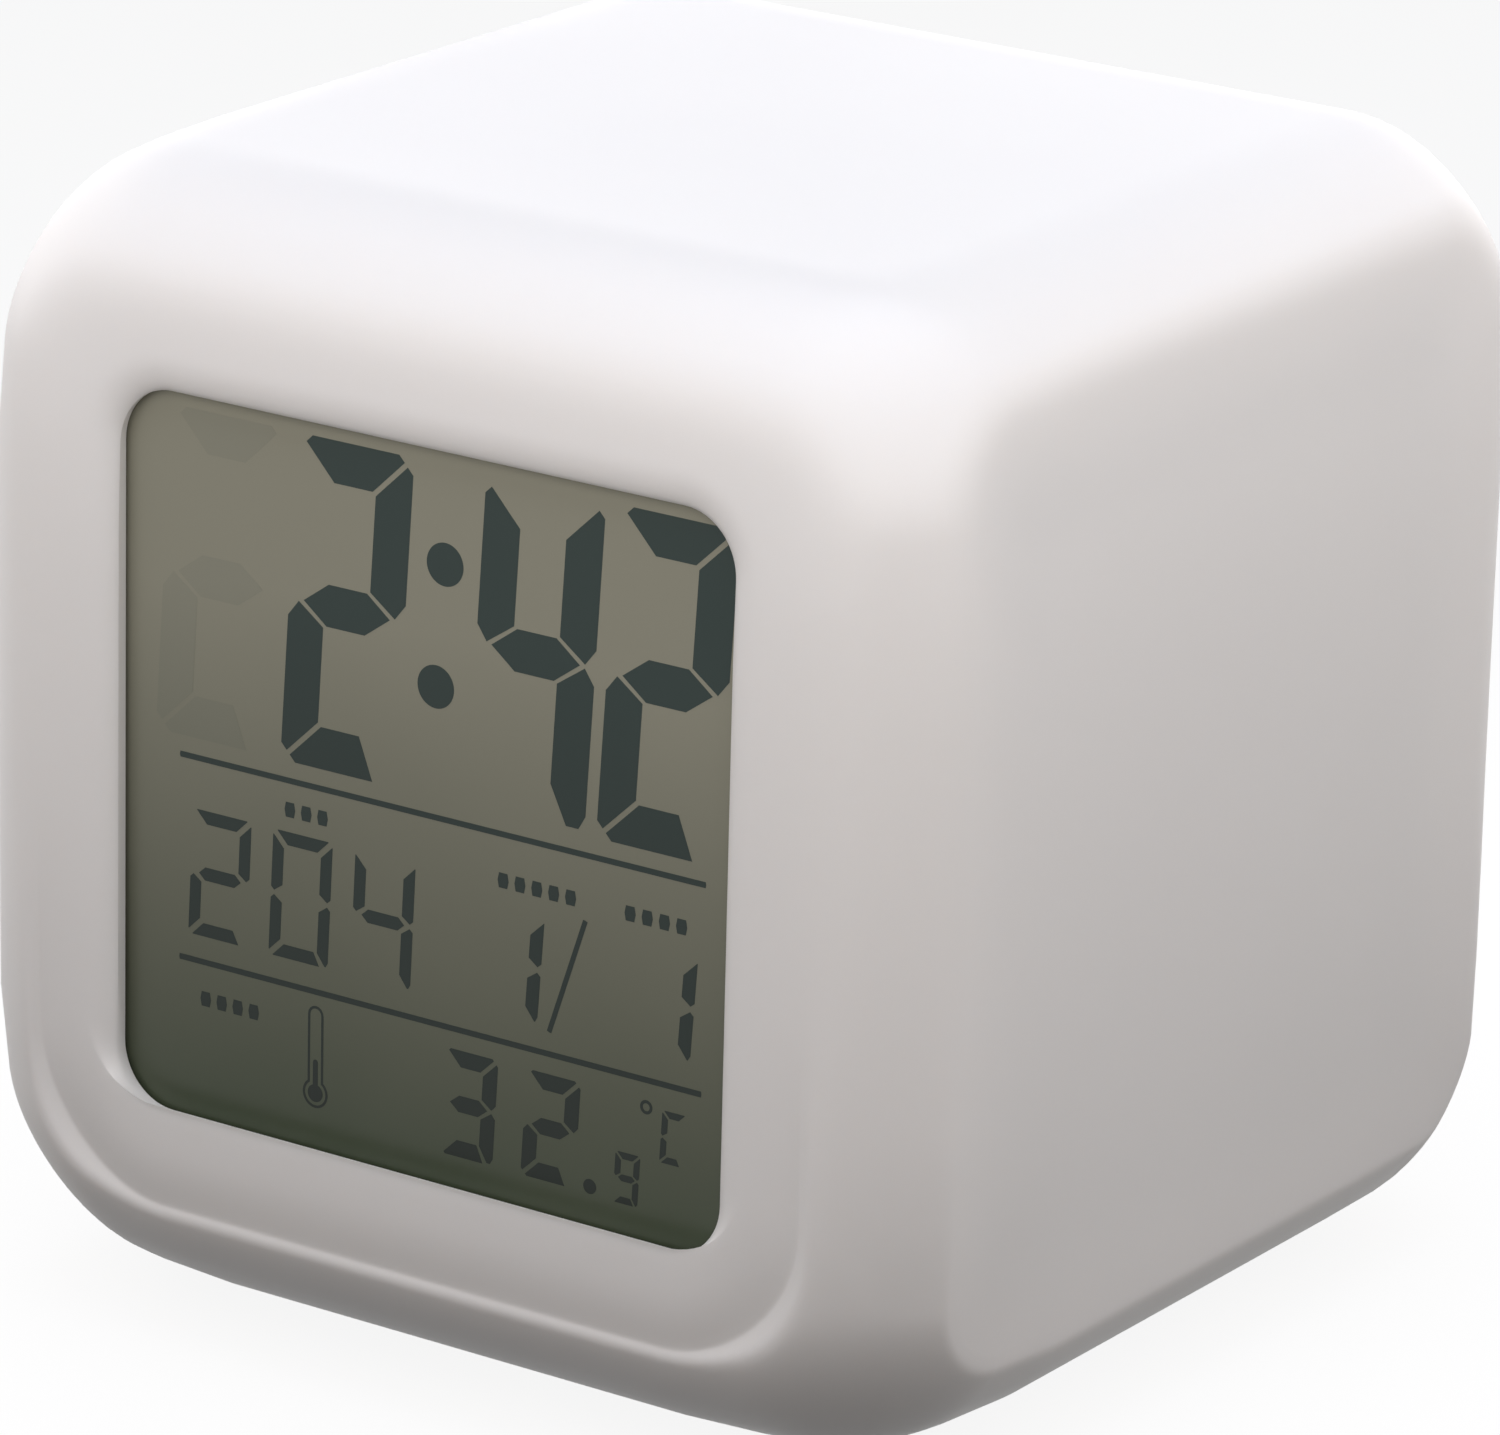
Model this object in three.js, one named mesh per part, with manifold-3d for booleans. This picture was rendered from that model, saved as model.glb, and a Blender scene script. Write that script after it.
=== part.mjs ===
// Digital cube clock. Millimetres, +Z up, front towards -Y, standing on its feet at Z = 0.

import * as THREE from 'three';
import { RoundedBoxGeometry } from 'three/addons/geometries/RoundedBoxGeometry.js';
import { mergeVertices } from 'three/addons/utils/BufferGeometryUtils.js';
import Module from 'manifold-3d';

const wasm = await Module();
wasm.setup();

// Clearances
const FIT_GAP = 0.3; // round a piece that drops into its neighbour
const SLIDE_GAP = 0.25; // round a pin that slides in a hole
const PILOT_GAP = 0.15; // round a screw thread in its boss
const PAST = 1; // how far a cutter runs past the face it opens

// Case shell
const CASE_WIDTH = 78;
const CASE_DEPTH = 78;
const CASE_HEIGHT = 78; // table to top
const GROUND_GAP = 1.6; // table to the underside of the shell
const EDGE_RADIUS = 14;
const EDGE_STEPS = 3; // facets on half of a rounded edge
const WALL = 2.4;
const DISH_DEPTH = 1; // the front and both sides are pressed in a little
const DISH_MARGIN = 9.8; // case edge to the flat of a dish
const DISH_CORNER = 10;
const DISH_SLOPE = 1; // rise over run of a dish's border

// Press base, which lights the cube when the case is pushed down on it
const BASE_SIZE = 46;
const BASE_CORNER = 8;
const BASE_LIFT = 0.8; // table to the underside of the plate
const BASE_THICK = 2.2;
const BASE_TRAVEL = 0.6;
const FLOOR_THICK = 2.2;
const FOOT_RADIUS = 4.5;
const FOOT_SUNK = 0.4; // depth of the foot's seat in the plate
const FOOT_OFFSET = 14.5; // from the middle, along each side
const HOOK_OFFSET = 18; // middle of the clock to the middle of a snap hook
const HOOK_WIDTH = 5;
const HOOK_THICK = 1.4;
const HOOK_BARB = 0.9;
const HOOK_TIP = 1.8; // height of the barb
const SPRING_DIAMETER = 13;
const SPRING_WIRE = 1;
const SPRING_LENGTH = 6.4;
const SPRING_TURNS = 3.5;
const SPRING_ROOM = 1; // round the spring in its well
const WELL_WALL = 1.6;
const BOSS_RADIUS = 3;
const BOSS_PROUD = 0.4; // how far the boss stands out of the spring well

// Press switches on the boards
const SWITCH_SIZE = 6;
const SWITCH_HEIGHT = 3.5;
const PLUNGER_RADIUS = 1.7;
const PLUNGER_PROUD = 1.5;
const PLUNGER_SUNK = 1.2;

// Light board in the floor of the case
const BOARD_THICK = 1.2;
const LIGHT_BOARD_WIDTH = 44;
const LIGHT_BOARD_DEPTH = 26;
const LIGHT_POST_X = 18;
const LIGHT_POST_Y = 9;
const POST_RADIUS = 1.6;
const PIN_RADIUS = 0.8; // heat-staked pin on the end of a post
const PIN_PROUD = 0.4;
const LAMP_RADIUS = 2.5;
const LAMP_RIM = 0.4;
const LAMP_RIM_HEIGHT = 1;
const LAMP_HEIGHT = 8.6;
const LAMP_OFFSET = 12;

// Display
const WINDOW_WIDTH = 47.6;
const WINDOW_HEIGHT = 48.6;
const WINDOW_CORNER = 4;
const WINDOW_RISE = 0.7; // above the middle of the case
const LIP_RUN = 3.6; // width of the rolled border round the window
const LIP_EDGE = 0.4; // square edge of the lip, next to the glass
const FILM = 0.25;
const GLASS = 1.1;
const GUIDE = 2;
const GLASS_LAP = 1.4; // glass beyond the window at the sides
const CONTACT_LEDGE = 2.8; // bare strip of the front glass at the top and bottom
const GLASS_MARGIN = 0.1; // rear glass inside the window's height
const FILM_INSET = 0.4;
const FRAME_WALL = 1.5;
const FRAME_CORNER = 3;
const FRAME_FLANGE = 2;
const FRAME_LIP = 3.2; // how far the flange reaches in behind the light guide
const STRIP_THICK = 1.8;
const STRIP_INSET = 2.2; // strip ends inside the glass
const MAIN_BOARD_EDGE = 1.7; // screw to the board's side edge
const MAIN_BOARD_INSET = 1; // board inside the front glass's height
const BOARD_CORNER = 2;
const MAIN_SCREW_Z = 18;
const MAIN_BOSS_RADIUS = 2.2;
const CHIP_RADIUS = 6;
const CHIP_HEIGHT = 1.6;
const CHIP_SPOT = [-8, 4];
const CRYSTAL_RADIUS = 1;
const CRYSTAL_LENGTH = 6;
const CRYSTAL_SPOT = [6, 6];
const SENSOR_SIZE = [2.4, 1.4, 3.2];
const SENSOR_SPOT = [-22, -21];

// Screws
const SCREW_RADIUS = 1.1;
const SCREW_HEAD = 1.9;
const SCREW_HEAD_HEIGHT = 1;
const SCREW_LENGTH = 6; // under the head
const SCREW_CLEAR = 1.4; // radius of the hole it passes through
const SCREW_CROWN = 1.4; // radius of the flat on the head
const CROSS_REACH = 1.2; // half the length of the cross slot
const CROSS_HALF = 0.3; // half its width
const CROSS_DEPTH = 0.6;

// Rear cover
const PANEL_RIM = 1.8; // panel beyond the notch of the latch
const PANEL_CORNER = 8;
const PANEL_THICK = 2;
const PANEL_RECESS = 1;
const LEDGE_THICK = 2.5;
const COVER_SCREW_INSET = 4.8; // from the panel's edges
const COVER_BOSS_RADIUS = 3.4;
const COVER_BOSS_LENGTH = 9;
const COUNTERBORE = 1.2;

// Battery bay
const CELL_RADIUS = 5.25;
const CELL_LENGTH = 44.5;
const NUB_RADIUS = 1.9;
const NUB_LENGTH = 0.8;
const CELL_GAP = 0.4; // between cells
const CELL_SIDE = 0.65; // outer cells to the side walls
const CONTACT_THICK = 0.5;
const CONTACT_HALF = 4.2;
const CONTACT_SPRING = 3.7;
const CONTACT_WIRE = 0.7;
const CONTACT_TURNS = 2.5;
const CONTACT_COIL = [3, 2.2]; // coil radius at the plate and at the cell
const NUB_GAP = 0.1;
const TAIL_WIDTH = 2;
const BAY_WALL = 1.8;
const BAY_FLOOR = 1.4;
const DOOR_THICK = 1.6;
const DOOR_LAP = 0.8; // door over the walls of the bay
const DOOR_SEAT = 0.2;
const HINGE_RADIUS = 1;
const HINGE_PIN_RADIUS = 0.5;
const HINGE_PIN_LENGTH = 1.2;
const HINGE_GAP = 0.15;
const LATCH_WIDTH = 10;
const LATCH_REACH = 1.4;
const LATCH_THICK = 1.2;
const GRIP_RADIUS = 1.25; // finger groove under the latch
const GRIP_RAISE = 0.6; // its axis above the door's face
const GRIP_DROP = 2.5;

// Keys, slide switch and sounder on the rear
const KEY_HIGH = 11;
const KEY_LOW = 1;
const KEY_WIDTH = 6.4;
const KEY_HEIGHT = 5;
const KEY_CORNER = 2.3;
const KEY_PROUD = 0.9;
const KEY_ROUND = 0.7;
const KEY_RIM = 0.6;
const KEY_FLANGE = 1.2;
const KEY_STEM = 1.5;
const KEY_TRAVEL = 0.6;
const KEY_BOARD_GAP = 0.8; // floor of the bay to the key board
const KEY_BOARD_EDGE = 0.6; // board beyond what it carries
const KEY_BOARD_CLEAR = 0.8; // board to the cover's screw bosses
const KEY_PIN_INSET = [3, 6]; // staked pins from the walls of the bay
const LOW_ROW = -11; // height of the slide switch and the sounder
const KNOB_WIDTH = 2.4;
const KNOB_HEIGHT = 3.4;
const KNOB_PROUD = 0.8;
const KNOB_TRAVEL = 2.4;
const KNOB_GROOVE = 0.34;
const SHUTTER_WIDTH = 5;
const SHUTTER_THICK = 0.8;
const SLIDER_BODY = [4.4, 9, 3.6];
const SLIDER_SUNK = 1.4;
const SOUNDER_SIZE = 7.4;
const SOUNDER_HEIGHT = 2.5;
const TUBE_RADIUS = 3.6;
const TUBE_WALL = 0.8;
const SOUND_HOLE = 0.6;
const SOUND_RING = 1.9;

// Flat leads
const LEAD_THICK = 1;
const RIBBON_WIDTH = 10;
const RIBBON_X = 15;
const RIBBON_MAIN_Z = 15.5; // on the main board, above the middle of the window
const RIBBON_KEY_Z = 10.2; // on the key board, above the middle of the cover
const LAMP_LEAD_WIDTH = 4;
const LAMP_LEAD_UP = 9.5; // on the key board, above its lower end

// Heights up the middle, from the table
const BASE_TOP = BASE_LIFT + BASE_THICK;
const POCKET_TOP = BASE_TOP + BASE_TRAVEL + FIT_GAP;
const FLOOR_TOP = POCKET_TOP + FLOOR_THICK;
const WELL_RADIUS = SPRING_DIAMETER / 2 + SPRING_ROOM;
const WELL_TOP = BASE_TOP + SPRING_LENGTH;
const WELL_ROOF = WELL_TOP + WELL_WALL;
const BOSS_TOP = WELL_ROOF + BOSS_PROUD;
const LIGHT_BOARD_Z = BOSS_TOP + PLUNGER_PROUD + SWITCH_HEIGHT;
const SHELL_HEIGHT = CASE_HEIGHT - GROUND_GAP;
const CASE_MIDDLE = GROUND_GAP + SHELL_HEIGHT / 2;
const WINDOW_Z = CASE_MIDDLE + WINDOW_RISE;

// Depths of the display, from the inner face of the front wall
const FRONT_INNER = -CASE_DEPTH / 2 + WALL;
const FILM_Y = FIT_GAP;
const GLASS_Y = FILM_Y + FILM;
const REAR_GLASS_Y = GLASS_Y + GLASS;
const REAR_FILM_Y = REAR_GLASS_Y + GLASS;
const GUIDE_Y = REAR_FILM_Y + FILM;
const FLANGE_Y = GUIDE_Y + GUIDE + FIT_GAP;
const MAIN_BOARD_Y = FLANGE_Y + FRAME_FLANGE;
const MAIN_BOARD_BACK = MAIN_BOARD_Y + BOARD_THICK;
const GLASS_WIDTH = WINDOW_WIDTH + 2 * GLASS_LAP;
const REAR_GLASS_HEIGHT = WINDOW_HEIGHT - 2 * GLASS_MARGIN;
const GLASS_HEIGHT = REAR_GLASS_HEIGHT + 2 * CONTACT_LEDGE;
const FRAME_WIDTH = GLASS_WIDTH + 2 * (FIT_GAP + FRAME_WALL);
const FRAME_HEIGHT = GLASS_HEIGHT + 2 * (FIT_GAP + FRAME_WALL);
const MAIN_SCREW_X = FRAME_WIDTH / 2 + FIT_GAP + MAIN_BOSS_RADIUS;
const MAIN_BOARD_WIDTH = 2 * (MAIN_SCREW_X + MAIN_BOARD_EDGE);
const MAIN_BOARD_HEIGHT = GLASS_HEIGHT - 2 * MAIN_BOARD_INSET;
const STRIP_LENGTH = GLASS_WIDTH - 2 * STRIP_INSET;
const STRIP_Z = (REAR_GLASS_HEIGHT + CONTACT_LEDGE) / 2;

// Depths of the rear, from the outer face of the rear cover, inwards negative
const REAR_Y = CASE_DEPTH / 2 - PANEL_RECESS;
const PANEL_BACK = -PANEL_THICK;
const REAR_INNER = REAR_Y + PANEL_BACK - LEDGE_THICK;
const CELL_Y = -DOOR_THICK - DOOR_SEAT - CELL_RADIUS;
const BAY_FLOOR_Y = CELL_Y - CELL_RADIUS - FIT_GAP;
const BAY_BACK = BAY_FLOOR_Y - BAY_FLOOR;
const KEY_BOARD_Y = BAY_BACK - KEY_BOARD_GAP;
const KEY_BOARD_FRONT = KEY_BOARD_Y - BOARD_THICK;
const PLUNGER_END = KEY_BOARD_Y + SWITCH_HEIGHT + PLUNGER_PROUD;
const CELL_PITCH = 2 * CELL_RADIUS + CELL_GAP;
const BAY_WIDTH = 2 * (CELL_PITCH + CELL_RADIUS + CELL_SIDE);
const BAY_HEIGHT = CELL_LENGTH + 2 * CONTACT_THICK + CONTACT_SPRING + 2 * NUB_GAP;
const DOOR_WIDTH = BAY_WIDTH + 2 * DOOR_LAP;
const DOOR_HEIGHT = BAY_HEIGHT + 2 * DOOR_LAP;
const PANEL_SIZE = DOOR_HEIGHT + 2 * (LATCH_REACH + FIT_GAP + PANEL_RIM);
const COVER_SCREW = PANEL_SIZE / 2 - COVER_SCREW_INSET;
const KEY_X = BAY_WIDTH / 2 + BAY_WALL + FIT_GAP + KEY_RIM + KEY_WIDTH / 2;
const KEY_BOARD_LOW = -BAY_HEIGHT / 2 - KEY_BOARD_EDGE;
const HINGE_Y = -HINGE_RADIUS;
const HINGE_Z = -DOOR_HEIGHT / 2 + HINGE_RADIUS;
const KNOB_REST = LOW_ROW - KNOB_TRAVEL / 2;
const SHUTTER_HEIGHT = KNOB_HEIGHT + 2 * KNOB_TRAVEL + 2 * FIT_GAP;

const SIDES = [-1, 1];
const CORNERS = [[-1, -1], [1, -1], [1, 1], [-1, 1]];

// Materials
function finish(color, roughness, metalness = 0) {
  return new THREE.MeshStandardMaterial({ color, roughness, metalness });
}
const MILKY = finish(0xe9e8e6, 0.45);
const WHITE = finish(0xe4e3df, 0.5);
const CLEAR = finish(0xbfc8c4, 0.1);
const LCD_GREY = finish(0x7a7a6c, 0.3);
const SILVER_FILM = finish(0xa9aca6, 0.4);
const RUBBER = finish(0x3a3b3d, 0.85);
const STRIP_PINK = finish(0xc98f86, 0.8);
const BOARD_GREEN = finish(0x2f6b3c, 0.5);
const EPOXY = finish(0x16171a, 0.35);
const BLACK = finish(0x1d1e20, 0.5);
const STEEL = finish(0xb9bcc0, 0.3, 1);
const CELL_SKIN = finish(0x4f7d8f, 0.4, 0.4);
const LEAD_GREY = finish(0x9b9da1, 0.6);
const LAMP = finish(0xe8e8ef, 0.2);

// Solids from closed geometries, and back
function solid(geometry) {
  const bare = geometry.clone();
  bare.deleteAttribute('normal');
  bare.deleteAttribute('uv');
  const welded = mergeVertices(bare, 1e-4);
  return new wasm.Manifold(new wasm.Mesh({
    numProp: 3,
    vertProperties: new Float32Array(welded.attributes.position.array),
    triVerts: new Uint32Array(welded.index.array),
  }));
}

function geometryOf(body) {
  const mesh = body.getMesh();
  const geometry = new THREE.BufferGeometry();
  geometry.setAttribute('position', new THREE.BufferAttribute(new Float32Array(mesh.vertProperties), 3));
  geometry.setIndex(new THREE.BufferAttribute(new Uint32Array(mesh.triVerts), 1));
  geometry.computeVertexNormals();
  return geometry;
}

function joined(...geometries) {
  return geometries.map(solid).reduce((whole, piece) => whole.add(piece));
}

function cutBy(body, ...geometries) {
  return geometries.map(solid).reduce((whole, piece) => whole.subtract(piece), body);
}

// Basic forms
function block(x0, x1, y0, y1, z0, z1) {
  const geometry = new THREE.BoxGeometry(x1 - x0, y1 - y0, z1 - z0);
  return geometry.translate((x0 + x1) / 2, (y0 + y1) / 2, (z0 + z1) / 2);
}

function roundedRect(width, height, radius) {
  const x = width / 2 - radius;
  const y = height / 2 - radius;
  const shape = new THREE.Shape();
  shape.absarc(x, -y, radius, -Math.PI / 2, 0);
  shape.absarc(x, y, radius, 0, Math.PI / 2);
  shape.absarc(-x, y, radius, Math.PI / 2, Math.PI);
  shape.absarc(-x, -y, radius, Math.PI, Math.PI * 1.5);
  shape.closePath();
  return shape;
}

function addHole(shape, x, y, radius) {
  const hole = new THREE.Path();
  hole.absarc(x, y, radius, 0, Math.PI * 2, true);
  shape.holes.push(hole);
}

function plateZ(shape, z0, z1) {
  const settings = { depth: z1 - z0, bevelEnabled: false, curveSegments: 3 };
  return new THREE.ExtrudeGeometry(shape, settings).translate(0, 0, z0);
}

// The shape's own upward direction becomes +Z.
function plateY(shape, y0, y1) {
  return plateZ(shape, 0, y1 - y0).rotateX(Math.PI / 2).translate(0, y1, 0);
}

function plateX(shape, x0, x1) {
  return plateZ(shape, 0, x1 - x0).rotateX(Math.PI / 2).rotateZ(Math.PI / 2).translate(x0, 0, 0);
}

function rodZ(radius, z0, z1, sides = 12) {
  const geometry = new THREE.CylinderGeometry(radius, radius, z1 - z0, sides);
  return geometry.rotateX(Math.PI / 2).translate(0, 0, (z0 + z1) / 2);
}

function rodY(radius, y0, y1, sides = 12) {
  const geometry = new THREE.CylinderGeometry(radius, radius, y1 - y0, sides);
  return geometry.translate(0, (y0 + y1) / 2, 0);
}

function rodX(radius, x0, x1, sides = 12) {
  const geometry = new THREE.CylinderGeometry(radius, radius, x1 - x0, sides);
  return geometry.rotateZ(Math.PI / 2).translate((x0 + x1) / 2, 0, 0);
}

// A solid through rounded rectangles stacked along Z: each ring is [width, height, radius, z].
function loft(rings, fineness = 3) {
  const positions = [];
  const index = [];
  const outlines = rings.map(([width, height, radius]) => roundedRect(width, height, radius)
    .getPoints(fineness));
  const count = outlines[0].length - 1;
  outlines.forEach((outline, level) => {
    for (let i = 0; i < count; i += 1) {
      positions.push(outline[i].x, outline[i].y, rings[level][3]);
    }
  });
  const last = (rings.length - 1) * count;
  for (let i = 0; i < count; i += 1) {
    const next = (i + 1) % count;
    for (let start = 0; start < last; start += count) {
      index.push(start + i, start + next, start + count + next);
      index.push(start + i, start + count + next, start + count + i);
    }
    if (i > 0 && i < count - 1) {
      index.push(0, next, i);
      index.push(last, last + i, last + next);
    }
  }
  const geometry = new THREE.BufferGeometry();
  geometry.setAttribute('position', new THREE.Float32BufferAttribute(positions, 3));
  geometry.setIndex(index);
  geometry.computeVertexNormals();
  return geometry;
}

// One round wire wound up along Z from z = 0; prints its least gap between turns.
function coil(label, radiusLow, radiusHigh, wire, length, turns) {
  const perTurn = 10;
  const around = 6;
  const steps = Math.round(turns * perTurn);
  const centres = [];
  const positions = [];
  const index = [];
  for (let i = 0; i <= steps; i += 1) {
    const t = i / steps;
    const angle = (i / perTurn) * Math.PI * 2;
    const outward = new THREE.Vector3(Math.cos(angle), Math.sin(angle), 0);
    const centre = outward.clone().multiplyScalar(THREE.MathUtils.lerp(radiusLow, radiusHigh, t));
    centre.z = wire / 2 + (length - wire) * t;
    centres.push(centre);
    for (let k = 0; k < around; k += 1) {
      const turn = (k / around) * Math.PI * 2;
      const point = centre.clone().addScaledVector(outward, Math.cos(turn) * wire / 2);
      positions.push(point.x, point.y, point.z + Math.sin(turn) * wire / 2);
    }
  }
  for (let k = 0; k < around; k += 1) {
    const next = (k + 1) % around;
    for (let i = 0; i < steps; i += 1) {
      const here = i * around;
      const there = here + around;
      index.push(here + k, there + next, here + next);
      index.push(here + k, there + k, there + next);
    }
    if (k > 0 && k < around - 1) {
      index.push(0, k, next);
      index.push(steps * around, steps * around + next, steps * around + k);
    }
  }
  let gap = Infinity;
  centres.forEach((a, i) => centres.slice(i + perTurn / 2).forEach((b) => {
    gap = Math.min(gap, a.distanceTo(b) - wire);
  }));
  console.log(`${label}: least gap between turns ${gap.toFixed(2)} mm`);
  const geometry = new THREE.BufferGeometry();
  geometry.setAttribute('position', new THREE.Float32BufferAttribute(positions, 3));
  geometry.setIndex(index);
  geometry.computeVertexNormals();
  return geometry;
}

// A flat lead bent in an S in the YZ plane, level at both ends, spread along X.
function flatLead(width, yFrom, zFrom, yTo, zTo) {
  const middle = (yFrom + yTo) / 2;
  const curve = new THREE.CubicBezierCurve(
    new THREE.Vector2(yFrom, zFrom),
    new THREE.Vector2(middle, zFrom),
    new THREE.Vector2(middle, zTo),
    new THREE.Vector2(yTo, zTo),
  );
  const steps = 10;
  const above = [];
  const below = [];
  for (let i = 0; i <= steps; i += 1) {
    const point = curve.getPoint(i / steps);
    const along = curve.getTangent(i / steps);
    const across = new THREE.Vector2(-along.y, along.x).multiplyScalar(LEAD_THICK / 2);
    above.push(point.clone().add(across));
    below.unshift(point.clone().sub(across));
  }
  return plateX(new THREE.Shape([...above, ...below]), -width / 2, width / 2);
}

// Case shell
function dish(faceWidth) {
  const width = faceWidth - 2 * DISH_MARGIN;
  const height = CASE_HEIGHT - 2 * DISH_MARGIN;
  const run = DISH_DEPTH / DISH_SLOPE + PAST;
  const rim = run * DISH_SLOPE - DISH_DEPTH;
  return loft([
    [width, height, DISH_CORNER, -DISH_DEPTH],
    [width + 2 * run, height + 2 * run, DISH_CORNER + run, rim],
    [width + 2 * run, height + 2 * run, DISH_CORNER + run, rim + PAST],
  ]).rotateX(Math.PI / 2);
}

function windowCutter() {
  const face = WALL - DISH_DEPTH;
  const drop = face - LIP_EDGE;
  const radius = (LIP_RUN * LIP_RUN + drop * drop) / (2 * drop);
  const widest = Math.asin(LIP_RUN / radius);
  const rings = [[0, -PAST], [0, LIP_EDGE]];
  const steps = 3;
  for (let i = 1; i <= steps; i += 1) {
    const turn = widest * (1 - i / steps);
    rings.push([LIP_RUN - radius * Math.sin(turn), face - radius * (1 - Math.cos(turn))]);
  }
  rings.push([LIP_RUN, WALL + PAST]);
  return loft(rings.map(([roll, z]) => [
    WINDOW_WIDTH + 2 * roll, WINDOW_HEIGHT + 2 * roll, WINDOW_CORNER + roll, z,
  ])).rotateX(Math.PI / 2).translate(0, FRONT_INNER, WINDOW_Z);
}

function hookPlaces(make) {
  return [0, 1, 2, 3].map((quarter) => make().rotateZ(quarter * Math.PI / 2));
}

function shellGeometry() {
  const outside = solid(
    new RoundedBoxGeometry(CASE_WIDTH, CASE_DEPTH, SHELL_HEIGHT, EDGE_STEPS, EDGE_RADIUS)
      .translate(0, 0, CASE_MIDDLE),
  );
  const roomDepth = REAR_INNER - FRONT_INNER;
  const roomHeight = CASE_HEIGHT - WALL - FLOOR_TOP;
  const room = new RoundedBoxGeometry(
    CASE_WIDTH - 2 * WALL, roomDepth, roomHeight, EDGE_STEPS - 1, EDGE_RADIUS - WALL,
  ).translate(0, FRONT_INNER + roomDepth / 2, FLOOR_TOP + roomHeight / 2);
  const framePocket = plateY(
    roundedRect(FRAME_WIDTH + 2 * FIT_GAP, FRAME_HEIGHT + 2 * FIT_GAP, FRAME_CORNER + FIT_GAP),
    FRONT_INNER, FRONT_INNER + MAIN_BOARD_Y,
  ).translate(0, 0, WINDOW_Z);
  const seat = PANEL_SIZE + 2 * FIT_GAP;
  const openingWidth = 2 * (KEY_X + KEY_WIDTH / 2 + KEY_RIM + FIT_GAP);
  const openingHeight = BAY_HEIGHT + 2 * (BAY_WALL + FIT_GAP);
  const coverSeat = plateY(
    roundedRect(seat, seat, PANEL_CORNER + FIT_GAP), REAR_Y + PANEL_BACK, REAR_Y + PANEL_RECESS + PAST,
  ).translate(0, 0, CASE_MIDDLE);
  const coverOpening = plateY(
    roundedRect(openingWidth, openingHeight, PANEL_CORNER), REAR_INNER - EDGE_RADIUS, REAR_Y,
  ).translate(0, 0, CASE_MIDDLE);
  const pocketSize = BASE_SIZE + 2 * FIT_GAP;
  const basePocket = plateZ(
    roundedRect(pocketSize, pocketSize, BASE_CORNER + FIT_GAP), GROUND_GAP - PAST, POCKET_TOP,
  );
  const hollow = cutBy(
    outside,
    dish(CASE_WIDTH).translate(0, -CASE_DEPTH / 2, CASE_MIDDLE),
    dish(CASE_DEPTH).rotateZ(Math.PI / 2).translate(CASE_WIDTH / 2, 0, CASE_MIDDLE),
    dish(CASE_DEPTH).rotateZ(-Math.PI / 2).translate(-CASE_WIDTH / 2, 0, CASE_MIDDLE),
    room, framePocket, windowCutter(), coverSeat, coverOpening, basePocket,
  );

  const studs = [rodZ(WELL_RADIUS + WELL_WALL, FLOOR_TOP - PAST, WELL_ROOF, 24)];
  const bores = [
    rodZ(WELL_RADIUS, POCKET_TOP - PAST, WELL_TOP, 24),
    rodZ(BOSS_RADIUS + SLIDE_GAP, WELL_TOP - PAST, WELL_ROOF + PAST),
  ];
  const slotHalf = HOOK_THICK / 2 + FIT_GAP;
  const slotWidth = HOOK_WIDTH / 2 + FIT_GAP;
  bores.push(...hookPlaces(() => block(
    HOOK_OFFSET - slotHalf, HOOK_OFFSET + slotHalf, -slotWidth, slotWidth,
    POCKET_TOP - PAST, FLOOR_TOP + PAST,
  )));
  CORNERS.forEach(([sx, sz]) => {
    const lightX = sx * LIGHT_POST_X;
    const lightY = sz * LIGHT_POST_Y;
    studs.push(rodZ(POST_RADIUS, FLOOR_TOP - PAST, LIGHT_BOARD_Z, 12).translate(lightX, lightY, 0));
    studs.push(rodZ(PIN_RADIUS, LIGHT_BOARD_Z - PAST, LIGHT_BOARD_Z + BOARD_THICK + PIN_PROUD, 10)
      .translate(lightX, lightY, 0));
    const frontX = sx * MAIN_SCREW_X;
    const frontZ = WINDOW_Z + sz * MAIN_SCREW_Z;
    const bossRoot = FRONT_INNER - (WALL - DISH_DEPTH) / 2;
    studs.push(rodY(MAIN_BOSS_RADIUS, bossRoot, FRONT_INNER + MAIN_BOARD_Y)
      .translate(frontX, 0, frontZ));
    bores.push(rodY(SCREW_RADIUS + PILOT_GAP, FRONT_INNER + MAIN_BOARD_BACK - SCREW_LENGTH - FIT_GAP,
      FRONT_INNER + MAIN_BOARD_Y + PAST, 10).translate(frontX, 0, frontZ));
    const rearX = sx * COVER_SCREW;
    const rearZ = CASE_MIDDLE + sz * COVER_SCREW;
    const bossEnd = REAR_Y + PANEL_BACK;
    studs.push(rodY(COVER_BOSS_RADIUS, bossEnd - COVER_BOSS_LENGTH, bossEnd).translate(rearX, 0, rearZ));
    bores.push(rodY(SCREW_RADIUS + PILOT_GAP, bossEnd - COVER_BOSS_LENGTH + PAST, bossEnd + PAST, 10)
      .translate(rearX, 0, rearZ));
  });
  return geometryOf(cutBy(hollow.add(joined(...studs).intersect(outside)), ...bores));
}

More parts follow.
